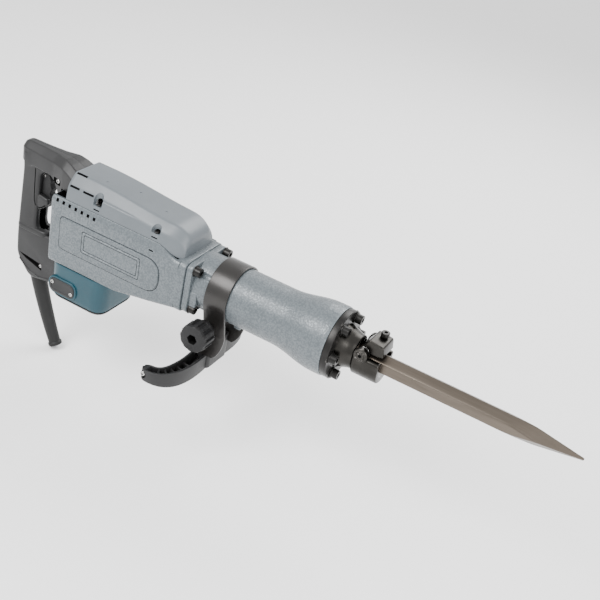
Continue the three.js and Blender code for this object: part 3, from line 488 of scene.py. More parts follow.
def wear_group():
    """Outer edges, found by how pointed the surface is there, broken up by noise, take the worn colour."""
    tree, ends, out = new_group(
        "worn_edges",
        [("Colour", "Color", (0.1, 0.1, 0.1, 1)), ("Worn", "Color", (0.4, 0.4, 0.4, 1)),
         ("Amount", "Float", 0.5)],
        [("Colour", "Color")])
    shape = add_node(tree, "ShaderNodeNewGeometry")
    edge = ranged(tree, shape.outputs["Pointiness"], 0.52, 0.62, 0.0, 1.0)
    broken = ranged(tree, noise(tree, 260.0, 4.0), 0.4, 0.62, 0.0, 1.0)
    rubbed = product(tree, product(tree, edge, broken), ends.outputs["Amount"])
    tone = mix_colour(tree, rubbed, ends.outputs["Colour"], ends.outputs["Worn"])
    tree.links.new(tone, out.inputs["Colour"])
    return tree


GROUPS = {"hammered": hammered_group(), "grain": grain_group(), "wear": wear_group()}
print("groups:", ", ".join(GROUPS))


# %% Building a material
def rgb(red, green, blue):
    """An opaque colour: red, green, blue and an alpha of one."""
    return (red, green, blue, 1.0)


def place_group(tree, kind, **values):
    """Places a shared group with its own values; a value may also be a socket to link."""
    made = tree.nodes.new("ShaderNodeGroup")
    made.node_tree = GROUPS[kind]
    for name, value in values.items():
        if isinstance(value, bpy.types.NodeSocket):
            tree.links.new(value, made.inputs[name])
        else:
            made.inputs[name].default_value = value
    return made


def material(name, **uniform):
    """An empty finish, its tree and its Principled shader, with the values that are the same all over."""
    made = bpy.data.materials.new(name)
    made.use_nodes = True
    shader = made.node_tree.nodes["Principled BSDF"]
    for label, value in uniform.items():
        shader.inputs[label.replace("_", " ")].default_value = value
    return made, made.node_tree, shader


def bumped(tree, shader, height, distance, strength=1.0):
    """Joins a height to the shader's normal through a bump of that depth in metres."""
    bump = add_node(tree, "ShaderNodeBump", Strength=strength, Distance=distance)
    tree.links.new(height, bump.inputs["Height"])
    tree.links.new(bump.outputs["Normal"], shader.inputs["Normal"])


# %% Enamel and plastics
def enamel():
    """Hammered grey-blue enamel over a casting, rubbed at its edges."""
    made, tree, shader = material("hammered_enamel", Metallic=0.2, Coat_Weight=0.2, Coat_Roughness=0.22)
    hammered = place_group(tree, "hammered", Crown=rgb(0.118, 0.136, 0.147),
                           Net=rgb(0.072, 0.086, 0.095), Cell=330.0)
    worn = place_group(tree, "wear", Colour=hammered.outputs["Colour"], Worn=rgb(0.26, 0.29, 0.31),
                       Amount=0.5)
    tree.links.new(worn.outputs["Colour"], shader.inputs["Base Color"])
    tree.links.new(hammered.outputs["Roughness"], shader.inputs["Roughness"])
    bumped(tree, shader, hammered.outputs["Height"], 0.0004, 0.45)
    return made


def plastic(name, colour, shade, worn, roughs, grain=0.00006, **uniform):
    """Moulded plastic or rubber with fine grain, cloudy shade and rubbed edges."""
    made, tree, shader = material(name, **uniform)
    grained = place_group(tree, "grain", Colour=rgb(*colour), Shade=rgb(*shade), Rough_low=roughs[0],
                          Rough_high=roughs[1])
    rubbed = place_group(tree, "wear", Colour=grained.outputs["Colour"], Worn=rgb(*worn), Amount=0.7)
    tree.links.new(rubbed.outputs["Colour"], shader.inputs["Base Color"])
    tree.links.new(grained.outputs["Roughness"], shader.inputs["Roughness"])
    bumped(tree, shader, grained.outputs["Height"], grain)
    return made


ENAMEL = enamel()
GREY = plastic("satin_grey_plastic", (0.10, 0.114, 0.125), (0.086, 0.099, 0.109), (0.2, 0.22, 0.235),
               (0.3, 0.44))
BLACK = plastic("black_plastic", (0.014, 0.014, 0.0145), (0.010, 0.010, 0.0105), (0.05, 0.05, 0.052),
                (0.36, 0.5), Specular_IOR_Level=0.32)
GRIP = plastic("soft_grip", (0.010, 0.010, 0.0105), (0.007, 0.007, 0.0075), (0.03, 0.03, 0.03),
               (0.5, 0.65), 0.0001, Specular_IOR_Level=0.28)
TEAL = plastic("teal_plastic", (0.003, 0.040, 0.057), (0.002, 0.031, 0.046), (0.02, 0.10, 0.13), (0.28, 0.42),
               Specular_IOR_Level=0.4)
RUBBER = plastic("black_rubber", (0.008, 0.008, 0.008), (0.006, 0.006, 0.006), (0.02, 0.02, 0.02),
                 (0.45, 0.6), 0.0001, Specular_IOR_Level=0.3)
# Near-black finish for the cut faces of holes, slots, grooves and hollows: painted shade standing in for the
# shadow inside them, not a real colour of the parts.
PAINTED_SHADE = plastic("painted_shade_black", (0.003, 0.003, 0.003), (0.002, 0.002, 0.002), (0.005, 0.005, 0.005),
                 (0.7, 0.9), Specular_IOR_Level=0.1)
print("enamel and plastics ready")


# %% Metals
def metal(name, colour, stain, roughs, stretch=(1.0, 1.0, 1.0), scale=120.0, depth=0.00004, worn=None,
          **uniform):
    """Metal whose stains and tool marks run along the axis with the smallest stretch."""
    made, tree, shader = material(name, Metallic=uniform.pop("Metallic", 1.0), **uniform)
    marks = noise(tree, scale, 5.0, stretch, 0.6)
    tone = mix_colour(tree, ranged(tree, marks, 0.25, 0.8, 0.0, 1.0), rgb(*colour), rgb(*stain))
    if worn:
        tone = place_group(tree, "wear", Colour=tone, Worn=rgb(*worn), Amount=0.8).outputs["Colour"]
    tree.links.new(tone, shader.inputs["Base Color"])
    tree.links.new(ranged(tree, marks, 0.2, 0.85, roughs[0], roughs[1]), shader.inputs["Roughness"])
    bumped(tree, shader, noise(tree, scale * 6, 2.0, stretch), depth)
    return made


BLACK_STEEL = metal("black_steel", (0.014, 0.0135, 0.013), (0.022, 0.021, 0.02), (0.28, 0.4), scale=60.0,
                    worn=(0.10, 0.095, 0.09), Metallic=0.75)
BAND_PAINT = metal("band_paint", (0.020, 0.0185, 0.0175), (0.026, 0.024, 0.0225), (0.26, 0.35), scale=24.0,
                   worn=(0.09, 0.085, 0.08), Metallic=0.65, Coat_Weight=0.25, Coat_Roughness=0.3)
GUNMETAL = metal("gunmetal", (0.040, 0.038, 0.035), (0.026, 0.0245, 0.0225), (0.25, 0.38), scale=50.0,
                 worn=(0.18, 0.17, 0.16))
BRIGHT = metal("bright_steel", (0.5, 0.5, 0.49), (0.38, 0.37, 0.36), (0.18, 0.32), scale=160.0)
FORGED = metal("forged_steel", (0.135, 0.114, 0.094), (0.085, 0.071, 0.058), (0.28, 0.42), (0.1, 1.0, 1.0),
               60.0, 0.00008, worn=(0.26, 0.23, 0.2))
ALUMINIUM = metal("cast_aluminium", (0.6, 0.61, 0.62), (0.5, 0.51, 0.52), (0.3, 0.5), scale=200.0)
STACK = metal("laminations", (0.2, 0.2, 0.21), (0.1, 0.1, 0.1), (0.4, 0.6), (0.2, 0.2, 6.0), 300.0, 0.0002)
COPPER = metal("copper", (0.72, 0.34, 0.2), (0.45, 0.2, 0.12), (0.25, 0.45), scale=220.0)
CARBON = plastic("pressed_carbon", (0.03, 0.03, 0.032), (0.02, 0.02, 0.021), (0.1, 0.1, 0.1), (0.5, 0.7))
print("metals ready")

# %% [markdown]
# ## Every frame part gets a finish
#
# The parts inside keep their own meshes, which are already the right shape. Each gets the finish of its slot.
# The parts outside get finer surfaces in the cells after this one, and those then stand for them.
# %% Finishes by slot
FINISHES = {
    "hammered_paint": ENAMEL, "grey_plastic": GREY, "black_plastic": BLACK, "teal_plastic": TEAL,
    "black_rubber": RUBBER, "black_steel": BLACK_STEEL, "gunmetal": GUNMETAL, "bright_steel": BRIGHT,
    "forged_steel": FORGED, "aluminium": ALUMINIUM, "laminations": STACK, "copper": COPPER, "carbon": CARBON,
}
for part in frame["record"]["subparts"]:
    held = frame["nodes"][part["node"]].data.materials
    held.clear()
    held.append(FINISHES[part["material_slot"]])

# %% [markdown]
# ## The barrel
#
# The hammer's cylinder case is an iron casting: a plain tube that flares towards the nose, with a square
# flange and a boss where it bolts to the housing. It could be modelled by subdividing a cylinder. A turned
# profile whose radius is a formula gives the flare exactly, and cutting the bore and the bolt holes
# afterwards leaves crisp machined edges on it.
# %% Barrel shape
JOINTS = {joint["name"]: joint for joint in frame["record"]["behaviour"]["joints"]}
AXIS_Z = JOINTS["side_handle_swivel"]["pos_m"][2] / MM
CENTRE = (0.0, AXIS_Z)
case_rear, case_front = box_of("cylinder_case")[0][0], box_of("cylinder_case")[1][0]
TUBE_R, FLARE_R, BORE_R = 48.7, 60.0, 34.5
FLARE_LENGTH, FLARE_LIP, RIM_ROUND = 98, 20, 1.2
FLANGE_THICK = 12.0
BOLT_HOLE_R, BOLT_SEAT_R, SEAT_END = 5.4, 10.0, 262
PAST = 5
flange_face = case_rear + FLANGE_THICK
bolt_spots = [middle_of(f"flange_bolt_{i}")[1:] for i in range(1, 5)]


def barrel_profile(count=90):
    """Radius is TUBE_R, then rises by a smooth step to FLARE_R over the last quarter of the length."""
    x = np.linspace(case_rear, case_front, count)
    radius = TUBE_R + (FLARE_R - TUBE_R) * smooth_step(x, case_front - FLARE_LENGTH, case_front - FLARE_LIP)
    radius[[0, -1]] -= RIM_ROUND
    return np.vstack([[case_rear, 0], np.column_stack([x, radius]), [case_front, 0]])


print("barrel from x", round(case_rear, 1), "to", round(case_front, 1), "mm, axis", AXIS_Z, "mm up")

# %% Barrel
case = solid("barrel_casting", lathe(barrel_profile(), "X", CENTRE, 128), ENAMEL)
flange = plate(rectangle(-54, 54, 94, 186, 15), case_rear, flange_face, "X", 2.2)
lower_pad = plate(rectangle(-50, 50, 102, 139, 4), case_rear + 1, 237, "X", 2.0)
plug_boss = plate(rectangle(-14, 6, 84, 100, 3), 296, 308, "X", 1.5)
for block in (flange, lower_pad, plug_boss):
    combine(case, [block], ENAMEL, "UNION")
combine(case, [bore(case_rear - PAST, case_front + PAST, BORE_R, "X", CENTRE)], BRIGHT)
for spot in bolt_spots:
    combine(case, [bore(case_rear - PAST, flange_face + 1, BOLT_HOLE_R, "X", spot, 32)], ENAMEL)
    combine(case, [bore(flange_face, SEAT_END, BOLT_SEAT_R, "X", spot, 32)], ENAMEL)
belongs(case, "frame", "hammered_paint", "cylinder_case")

# %% [markdown]
# ## The housing
#
# The motor and the gears sit in one casting with a flat underside, rising towards the barrel. Its sides carry
# a raised oblong panel with a plain frame, and small vents run along its upper edge. A row of rounded
# cross sections along the length gives the shape, and the chamber inside is cut from it, so that the gears
# keep their room.
# %% Housing shape
HOUSING_HALF, PANEL_RISE, WALL = 57.0, 2.2, 4.0
SIDE_TOP, SIDE_FALL = 191.3, 0.055
SEAM_TOP, SEAM_DROP = 200.0, 15.0
SHOULDER_IN = 3.6
(housing_rear, _, housing_floor), (housing_front, _, _) = box_of("main_housing")
END_PLATE_THICK = 13
body_front = housing_front - END_PLATE_THICK


def side_top(x):
    """Upper edge of the casting's side, falling gently towards the barrel."""
    return SIDE_TOP - SIDE_FALL * x


def deck(x):
    """Height of the seam under the top cover: level, then dropping in front of the gears."""
    return SEAM_TOP - SEAM_DROP * smooth_step(x, 150, 194)


def floor_height(x):
    """Underside: flat below the motor, then two slopes up to the barrel."""
    return np.interp(x, [housing_rear, 75, 156, 198], [housing_floor, housing_floor, 86, 95])


def housing_rows(x, inset):
    """One section for each x: a six-cornered outline with rounded corners, moved inwards by inset."""
    low, top = floor_height(x), deck(x)
    side = np.minimum(side_top(x), top - 2.0)
    half, crown = HOUSING_HALF, HOUSING_HALF - SHOULDER_IN
    corners = outlines((-half, low), (half, low), (half, side), (crown, top), (-crown, top), (-half, side))
    loops = rounded(corners, [9, 9, 2, 1.5, 1.5, 2])
    return placed(shrunk(loops, inset[:, None, None]), x, "X")


def bead(loop, half_width, low, high, axis):
    """A closed raised line that follows a loop: its section is a low trapezium. Use it with wrap on."""
    insets = np.array([-1, -0.5, 0.5, 1]) * half_width
    rows = placed(np.stack([shrunk(loop, inset) for inset in insets]), [low, high, high, low], axis)
    return rows.transpose(1, 0, 2)


print("housing from x", round(housing_rear, 1), "to", round(housing_front, 1), "mm")

# %% Housing body and panels
NAME_LOOP = rectangle(8, 124, 122, 157, 3, 4)
PANEL = rounded([(-43, 107), (165, 107), (165, 168), (-43, 168)], [9, 30, 30, 9], 10)
GROOVE_HALF, GROOVE_DEEP = 0.75, 0.7
body_x = np.concatenate([housing_rear + np.array([0, 0.8, 2.2, 4.5]), np.linspace(-50, body_front, 60)])
body_inset = np.concatenate([[4.5, 2.6, 1.1, 0.0], np.zeros(60)])
housing = solid("housing_casting", housing_rows(body_x, body_inset), ENAMEL)
end_plate = rectangle(-HOUSING_HALF, HOUSING_HALF, 92, 187, 17)
combine(housing, [plate(end_plate, body_front - 9, housing_front, "X", 2.0, 5.0)], ENAMEL, "UNION")
for side in SIDES.values():
    combine(housing, [side_plate(PANEL, side, 50.0, HOUSING_HALF + PANEL_RISE, 1.6, 1.6)], ENAMEL, "UNION")
grooves = ((shrunk(PANEL, -1.2), HOUSING_HALF), (shrunk(NAME_LOOP, -2.6), HOUSING_HALF + PANEL_RISE),
           (shrunk(NAME_LOOP, 2.6), HOUSING_HALF + PANEL_RISE))
# The grooves round the panel and the name frame are lined with the near-black painted shade.
for side in SIDES.values():
    for loop, face in grooves:
        cut = bead(loop, GROOVE_HALF, side * (face + 2.0), side * (face - GROOVE_DEEP), "Y")
        combine(housing, [cut], PAINTED_SHADE, wrap=True)
print("housing body", len(housing.data.polygons), "faces")

# %% Housing chamber, vents and bolt holes
room_rear, room_floor = housing_rear + WALL, housing_floor + WALL
chamber = rounded([(room_rear, room_floor), (74, room_floor), (155, 90), (194, 99), (194, 176), (187, 215),
                   (room_rear, 215)], 3)
# The chamber, the gear bore and the motor well are lined with the near-black painted shade.
combine(housing, [plate(chamber, -49.5, 49.5, "Y", 3.0)], PAINTED_SHADE)
combine(housing, [bore(178, 220, 35.5, "X", CENTRE)], PAINTED_SHADE)
combine(housing, [bore(60, 85, 48, "Z", (0, 0))], PAINTED_SHADE)
VENT_START, VENT_PITCH, VENT_COUNT, VENT_HALF = -53.3, 13.07, 7, 2.6


def wall_slot(x0, x1, z0, z1, side, near, far, radius=0.7):
    """A short slot through a side wall, given by its limits."""
    return side_plate(rectangle(x0, x1, z0, z1, radius, 3), side, near, far)


vents = [wall_slot(x - VENT_HALF, x + VENT_HALF, side_top(x) - 2.6, side_top(x) + 3.4, side, 53.0, 60.0, 0.8)
         for x in VENT_START + VENT_PITCH * np.arange(VENT_COUNT) for side in SIDES.values()]
vents += [wall_slot(139, 148, side_top(143) - 1.5, side_top(143) + 1.0, side, 54.0, 60.0, 0.6)
          for side in SIDES.values()]
# The vent slots are lined with the near-black painted shade.
combine(housing, vents, PAINTED_SHADE)
for spot in bolt_spots:
    combine(housing, [bore(185, 220, BOLT_HOLE_R, "X", spot, 32)], BRIGHT)
belongs(housing, "frame", "hammered_paint", "main_housing")

# %% Name frames
for label, side in SIDES.items():
    face = HOUSING_HALF + PANEL_RISE
    line = bead(NAME_LOOP, 1.5, side * (face - 0.5), side * (face + 0.7), "Y")
    belongs(solid(f"name_frame_{label}", line, ENAMEL, wrap=True), "frame", "hammered_paint")

# %% [markdown]
# ## The top cover
#
# The cover is a moulded lid: flat on top, with two sloping shoulders, rounded at the front in plan and in
# profile. Two pockets on each side hold its screws, a groove joins them, and vents are cut behind. Its cross
# section is a row of formulas in x, so that the front can narrow and drop together.
# %% Cover shape
COVER_REAR, COVER_FRONT, COVER_WALL = -41.0, 199.5, 4.5
COVER_TOP, COVER_DROP, NOSE_DROP = 245, 13, 26
NOSE_FROM, CORNER_FROM, CORNER_SHARE = 163, 150, 0.34
BASE_HALF, SHOULDER_HALF, CROWN_HALF, SHOULDER_SHARE = 52.6, 47.6, 31.0, 0.58


def ellipse_fall(share):
    """Runs from 0 to 1 along a quarter ellipse: slowly at first, then steeply."""
    return 1 - np.sqrt(np.clip(1 - np.clip(share, 0, 1) ** 2, 0, 1))


def cover_top(x):
    """Nearly level, 13 mm lower at the gears, then down along a quarter ellipse to the front edge."""
    nose = ellipse_fall((x - NOSE_FROM) / (COVER_FRONT - NOSE_FROM))
    return COVER_TOP - COVER_DROP * smooth_step(x, -10, 185) - NOSE_DROP * nose


def cover_plan(x):
    """Share of the full width: one, then an ellipse that rounds the front corners."""
    return 1 - CORNER_SHARE * ellipse_fall((x - CORNER_FROM) / (COVER_FRONT + 4 - CORNER_FROM))


def cover_rows(x, inset, drop=0.0):
    """Six-cornered sections: base, shoulder at 58% of the height, and the flat top."""
    low = deck(x) + 0.3 - drop
    top, plan = cover_top(x), cover_plan(x)
    middle = low + SHOULDER_SHARE * (top - low)
    base, shoulder, crown = BASE_HALF * plan, SHOULDER_HALF * plan, CROWN_HALF * plan
    corners = outlines((-base, low), (base, low), (shoulder, middle), (crown, top), (-crown, top),
                       (-shoulder, middle))
    loops = rounded(corners, [0.8, 0.8, 6.0, 4.0, 4.0, 6.0], 8)
    return placed(grown(loops, -inset[:, None, None]), x, "X")


print("cover top", round(float(cover_top(COVER_REAR)), 1), "mm up at its rear")

# %% Cover body
front_turn = np.sin(np.linspace(0, np.pi / 2, 34))
cover_x = np.concatenate([COVER_REAR + np.array([0, 0.7, 2.0]), np.linspace(-36, 148, 44),
                          CORNER_FROM + (COVER_FRONT - CORNER_FROM) * front_turn])
cover_inset = np.concatenate([[2.0, 0.7, 0.0], np.zeros(44), 1.6 * smooth_step(front_turn, 0.985, 1.0)])
cover = solid("cover_moulding", cover_rows(cover_x, cover_inset), GREY)
room_x = np.linspace(COVER_REAR + 4, COVER_FRONT - 9, 40)
# The cover's hollow inside is lined with the near-black painted shade.
combine(cover, [cover_rows(room_x, np.full(40, COVER_WALL), drop=12.0)], PAINTED_SHADE)
print("cover", len(cover.data.polygons), "faces")

# %% Cover pockets, vents and dimples
POCKET_X = (24.0, 143.0)
POCKET_Y, POCKET_FLOOR, POCKET_R = 48.5, 212, 8.6
ABOVE = 250
COVER_SLOTS = (
    # from x, to x, from z, to z, nearest and farthest distance from the middle plane
    (-37, -17, 224, 227.4, 45, 55),
    (-9, 13, 223.4, 226.8, 45, 55),
    (18, 30, 204.5, 206.8, 49.5, 56),
    (137, 149, 204.2, 206.4, 49.5, 56),
    (-37, -15, 238.5, 249, 28.5, 32.5),
)
DIMPLES = ((17, -18), (72, 2), (134, -10), (107, -34), (107, 34))
well_profile = [(POCKET_FLOOR, 0), (POCKET_FLOOR, POCKET_R - 1), (POCKET_FLOOR + 1, POCKET_R),
                (ABOVE, POCKET_R), (ABOVE, 0)]
groove_x = np.linspace(POCKET_X[0] + 6, POCKET_X[1] - 6, 8)
for side in SIDES.values():
    groove = np.column_stack([groove_x, np.full(8, side * 50.2), 226 - 0.02 * groove_x])
    combine(cover, [swept(groove, ring(4.4, 24))], GREY)
    for x in POCKET_X:
        combine(cover, [lathe(well_profile, "Z", (x, side * POCKET_Y), 40)], GREY)
    # The cover's vent slots are lined with the near-black painted shade.
    combine(cover, [wall_slot(*limits[:4], side, *limits[4:]) for limits in COVER_SLOTS], PAINTED_SHADE)
combine(cover, [bore(cover_top(x) - 0.5, ABOVE, 2.2, "Z", (x, y), 24) for x, y in DIMPLES], GREY)
belongs(cover, "frame", "grey_plastic", "top_cover")

# %% [markdown]
# ## Small screws
#
# One function makes every small screw: a pan head turned from a profile, with a hexagon recess cut in it. It
# saves drawing each one, and a change to the profile reaches them all.


# %% Small screws
def small_screw(name, spot, height, axis, radius, rise, direction=1, body="frame", dark=False):
    """A pan head whose edge is rounded, standing rise above height on an axis through spot."""
    up = direction * rise
    profile = softened([(height - up, 0), (height - up, radius * 0.5), (height, radius * 0.5),
                        (height, radius), (height + up * 0.6, radius), (height + up, radius * 0.6),
                        (height + up, 0)], 0.8)
    head = solid(name, lathe(profile, axis, spot, 32), BLACK_STEEL if dark else BRIGHT)
    # The hexagon recess is lined with the near-black painted shade.
    combine(head, [bore(height + up * 0.35, height + up * 2, radius * 0.42, axis, spot, 6)], PAINTED_SHADE)
    belongs(head, body, "black_steel" if dark else "bright_steel")


for label, side in SIDES.items():
    for place, x in zip(("rear", "front"), POCKET_X):
        small_screw(f"cover_screw_{place}_{label}", (x, side * 45.0), 212.4, "Z", 4.6, 3.0, dark=True)

# %% [markdown]
# ## The tail cover
#
# A teal tub closes the motor from below. Its plan is a rounded rectangle that grows a little towards the
# seam, and a black rim forms its foot. An oval lid with a raised border covers each carbon brush.
# %% Tail cover shape
(tail_x0, tail_y0, _), (tail_x1, tail_y1, tail_top) = box_of("tail_cover")
TAIL_CORNER = 27
brush_x, _, brush_z = middle_of("brush_cover_right")
half_x, _, half_z = (box_of("brush_cover_right")[1] - box_of("brush_cover_right")[0]) / 2
oval = rectangle(brush_x - half_x, brush_x + half_x, brush_z - half_z, brush_z + half_z, 13.5, 12)


def tail_rows(heights, spread):
    """The rounded plan at each height, grown by spread."""
    plan = rectangle(tail_x0 + 1, tail_x1 - 1, tail_y0 + 1, tail_y1 - 1, TAIL_CORNER, 12)
    return placed(np.stack([grown(plan, amount) for amount in spread]), heights, "Z")


print("tail cover top", round(tail_top, 1), "mm up")

# %% Tail cover and foot
tub_z = np.concatenate([[5.3, 5.9, 7.2], np.linspace(9, tail_top - 1.2, 24), [tail_top]])
tub_grow = np.concatenate([[-3.6, -2.4, -1.6], -1.2 + 2.2 * np.sqrt(np.linspace(0, 1, 24)), [0.4]])
tub = solid("tail_tub", tail_rows(tub_z, tub_grow), TEAL)
# The tub's inside is lined with the near-black painted shade.
combine(tub, [tail_rows(np.linspace(9, tail_top + 3, 12), np.linspace(-4.2, -2.6, 12))], PAINTED_SHADE)
for side in SIDES.values():
    combine(tub, [side_plate(grown(oval, 3.2), side, 46.0, 56.2, 1.4, 1.4)], TEAL, "UNION")
    combine(tub, [side_plate(grown(oval, 0.3), side, 54.4, 60.0, 0.2, 0.2)], TEAL)
belongs(tub, "frame", "teal_plastic", "tail_cover")

rim = solid("foot_rim", tail_rows([0.0, 0.5, 1.6, 4.4, 5.0], [-5.4, -4.2, -3.0, -1.6, -2.2]), RUBBER)
belongs(rim, "frame", "black_rubber", "tail_foot")

# %% Brush lids
for label, side in SIDES.items():
    lid = solid(f"brush_lid_{label}", side_plate(oval, side, 54.6, 57.6, 1.2, 0.2), BLACK)
    combine(lid, [side_plate(grown(oval, -4.5), side, 56.9, 60.0)], BLACK)
    belongs(lid, "frame", "black_plastic", f"brush_cover_{label}")
    for place, spot in (("upper", (brush_x - 21, brush_z + 5)), ("lower", (brush_x + 21, brush_z - 4))):
        small_screw(f"brush_screw_{place}_{label}", spot, side * 57.0, "Y", 3.6, 1.8, side)

# %% [markdown]
# ## The rear handle
#
# The D handle is moulded in two halves that meet on the middle plane. Its side line is a loop with rounded
# corners, and its top bar is a wide beam with chamfered edges, so each is made in its own way and the two are
# joined. The right half is made first. The left half is its mirror image, so the two can't drift apart.
# %% Handle shape
SEAM, HANDLE_HALF, HANDLE_EDGE = 0.15, 18.0, 6.5
handle_front = housing_rear - 0.3
BAR_REAR, BAR_CHAMFER, BAR_ROUND = -173.0, 12.0, 12
DECK_FOOT = 200.3
RIGHT = SIDES["right"]
handle_loop = rounded(
    [(-170, 236), (-45, 236), (-45, 152), (-88, 178), (-93, 208), (-126, 205), (-131, 86),
     (-45, 83.3), (-45, 7), (-100, -10), (-140, -16), (-172, 22), (-173, 70), (-166, 205)],
    [12, 12, 12, 12, 16, 12, 20, 12, 12, 12, 14, 14, 20, 16], 8)


def offset(loop, inset):
    """Moves every side of a loop inwards by the same distance."""
    return grown(loop, -inset)


def bar_rows(x, half, low, top):
    """Right half of a beam's section at each x: flat side, chamfer, flat top, cut off at the seam."""
    chamfer = np.minimum(BAR_CHAMFER, half * 0.6)
    corners = outlines((SEAM, low), (half, low), (half, top - chamfer), (half - chamfer, top), (SEAM, top))
    corners[..., 0] *= RIGHT
    return placed(rounded(corners, [0.05, 3.0, 2.2, 2.2, 0.05], 6), x, "X")


def mirrored(thing, name):
    """A copy of a piece on the other side of the middle plane, with its faces turned back outwards."""
    mesh = thing.data.copy()
    mesh.transform(Matrix.Scale(-1, 4, (0, 1, 0)))
    mesh.flip_normals()
    twin = bpy.data.objects.new(name, mesh)
    bpy.context.scene.collection.objects.link(twin)
    return twin


print("handle meets the housing at x", round(handle_front, 1), "mm")

# %% Top bar
rear_turn = 1 - np.cos(np.linspace(0, np.pi / 2, 12))
bar_x = np.concatenate([BAR_REAR + BAR_ROUND * rear_turn, np.linspace(-158, handle_front, 24),
                        np.linspace(handle_front + 0.1, -40.7, 14)])
bar_round = np.sqrt(np.clip(1 - (np.clip(BAR_REAR + BAR_ROUND - bar_x, 0, BAR_ROUND) / 12.3) ** 2, 0, 1))
bar_half = np.interp(bar_x, [-173, -140, -95, -68, -40], [16.5, 18.5, 23, 31, 36]) * (0.45 + 0.55 * bar_round)
bar_low = (np.interp(bar_x, [-173, -100, -88, -68.31, -68.25], [211, 210, 202, 172, DECK_FOOT])
           + 6 * (1 - bar_round))
bar_top = np.interp(bar_x, [-173, -72, -58, -40], [250, 250, 246, 238]) - 9 * (1 - bar_round)
loop_grid = side_plate(handle_loop, RIGHT, SEAM, HANDLE_HALF, HANDLE_EDGE, 0.3, offset)
half = solid("handle_half_right", loop_grid, BLACK)
combine(half, [plate(rectangle(-30, 30, -60, 300, 1), handle_front, 0, "X", 0.2)], BLACK)
combine(half, [bar_rows(bar_x, bar_half, bar_low, bar_top)], BLACK, "UNION")
print("top bar", round(float(np.ptp(bar_x)), 1), "mm long")

# %% Handle brim, cheek and hollows
brim = rounded([(-173.4, -2.0), (-101, -2.0), (-106, -19.5), (-173.4, -19.5)], [1, 1, 13, 12], 8)
cheek = rounded([(-134, 161), (-131, 132), (-124, 131), (-106, 147), (-108, 157), (-124, 160)],
                [4, 2, 4, 5, 4, 3], 5)
combine(half, [plate(brim, 80, 91, "Z", 4.5, 2.0)], BLACK, "UNION")
combine(half, [side_plate(cheek, RIGHT, 8.8, 16.5, 3.5, 0.5)], BLACK, "UNION")
HOLLOWS = ((-162, -133, 112, 200, 12.0), (-150, -101, 108, 205, 8.4), (-160, -118, -2, 113, 8.0))
# The hollows are lined with the near-black painted shade.
for x0, x1, z0, z1, depth in HOLLOWS:
    combine(half, [side_plate(rectangle(x0, x1, z0, z1, 1), RIGHT, -1.0, depth, 1.0)], PAINTED_SHADE)
print("right handle half", len(half.data.polygons), "faces")

# %% Handle seam line, screw slots and rib
line = softened([(-137, 209), (-137, 190), (-136.8, 165), (-136.2, 148), (-133, 138), (-127, 134.5),
                 (-120, 138), (-112, 145)], 8, 5)
line_y = RIGHT * (HANDLE_HALF + 0.2 - 1.6 * smooth_step(line[:, 0], -134, -127))
# The seam groove and the slots below it are lined with the near-black painted shade.
combine(half, [swept(np.column_stack([line[:, 0], line_y, line[:, 1]]), ring(1.1, 10))], PAINTED_SHADE)
slot_loop = rounded([(-164, 30), (-112, 23.5), (-109.5, 10.5), (-150, 22.5)], [2, 3, 3, 8], 6)
combine(half, [side_plate(slot_loop, RIGHT, 11.5, 24.0, 0.3, 0.5)], PAINTED_SHADE)
combine(half, [side_plate(rectangle(-91, -72, 203, 214, 3), RIGHT, 22.0, 40.0, 0.3, 0.6)], PAINTED_SHADE)
rib = [(x, RIGHT * HANDLE_HALF, z) for x, z in ((-163, 17), (-150, 6), (-136, -2), (-116, -5), (-74, 3))]
combine(half, [swept(rib, ring(1.2, 10))], BLACK, "UNION")
belongs(half, "frame", "black_plastic", "handle_shell_right")

# %% Left half and handle screws
BUTTON_SPOT = (-145, 150)
other_half = mirrored(half, "handle_half_left")
combine(other_half, [bore(0, 30, 5.4, "Y", BUTTON_SPOT, 32)], BLACK)
belongs(other_half, "frame", "black_plastic", "handle_shell_left")
for label, side in SIDES.items():
    small_screw(f"handle_screw_lower_{label}", (-114.5, 17.6), side * 14.5, "Y", 3.6, 2.6, side)
    small_screw(f"handle_screw_upper_{label}", (-80, 208.5), side * 24.0, "Y", 4.0, 3.0, side)

# %% [markdown]
# ## Trigger, lock button and cord guard
#
# The trigger is a long lever with finger grooves, so its front line is a wave. The lock button is turned. The
# rubber guard is a ring carried along a curve: it leaves the foot of the grip, bends forward as it narrows,
# and ends in a lip.
# %% Trigger and button
WAVE_TOP, WAVE_LOW, WAVE_LENGTH, WAVE_DEEP = 190, 150, 20.0, 1.5
trigger_low, trigger_high = box_of("trigger")
wave_z = np.linspace(WAVE_TOP, WAVE_LOW, 26)
wave_x = -108.6 + WAVE_DEEP * np.sin((wave_z - WAVE_LOW) * 2 * np.pi / WAVE_LENGTH)
trigger_loop = np.vstack([[(-129.5, 203), (-116, 203)], np.column_stack([wave_x, wave_z]),
                          [(-110, 143), (-114, 137), (-122, 134.5), (-131, 138), (-131, 190)]])
lever = solid("trigger_lever", plate(trigger_loop, trigger_low[1], trigger_high[1], "Y", 2.0), GRIP)
# The pivot hole is lined with the near-black painted shade.
combine(lever, [bore(-20, 20, 2.8, "Y", (-124, 197), 24)], PAINTED_SHADE)
belongs(lever, "trigger", "black_plastic", "trigger")

button = softened([(15.5, 0), (15.5, 5), (22, 5), (22, 6.6), (24, 6.2), (24, 0)], 0.7)
belongs(solid("lock_on_button", lathe(button, "Y", BUTTON_SPOT, 48), BLACK), "lock_button", "black_plastic",
        "lock_button")

# %% Cord guard
GUARD_START, GUARD_BEND, GUARD_END = (-138, 12), (-116, -70), (-79, -148)
GUARD_R, GUARD_NARROWS, LIP_FROM, LIP_R, LIP_EDGE_R = 15.5, 4.5, 0.96, 13.0, 12.2


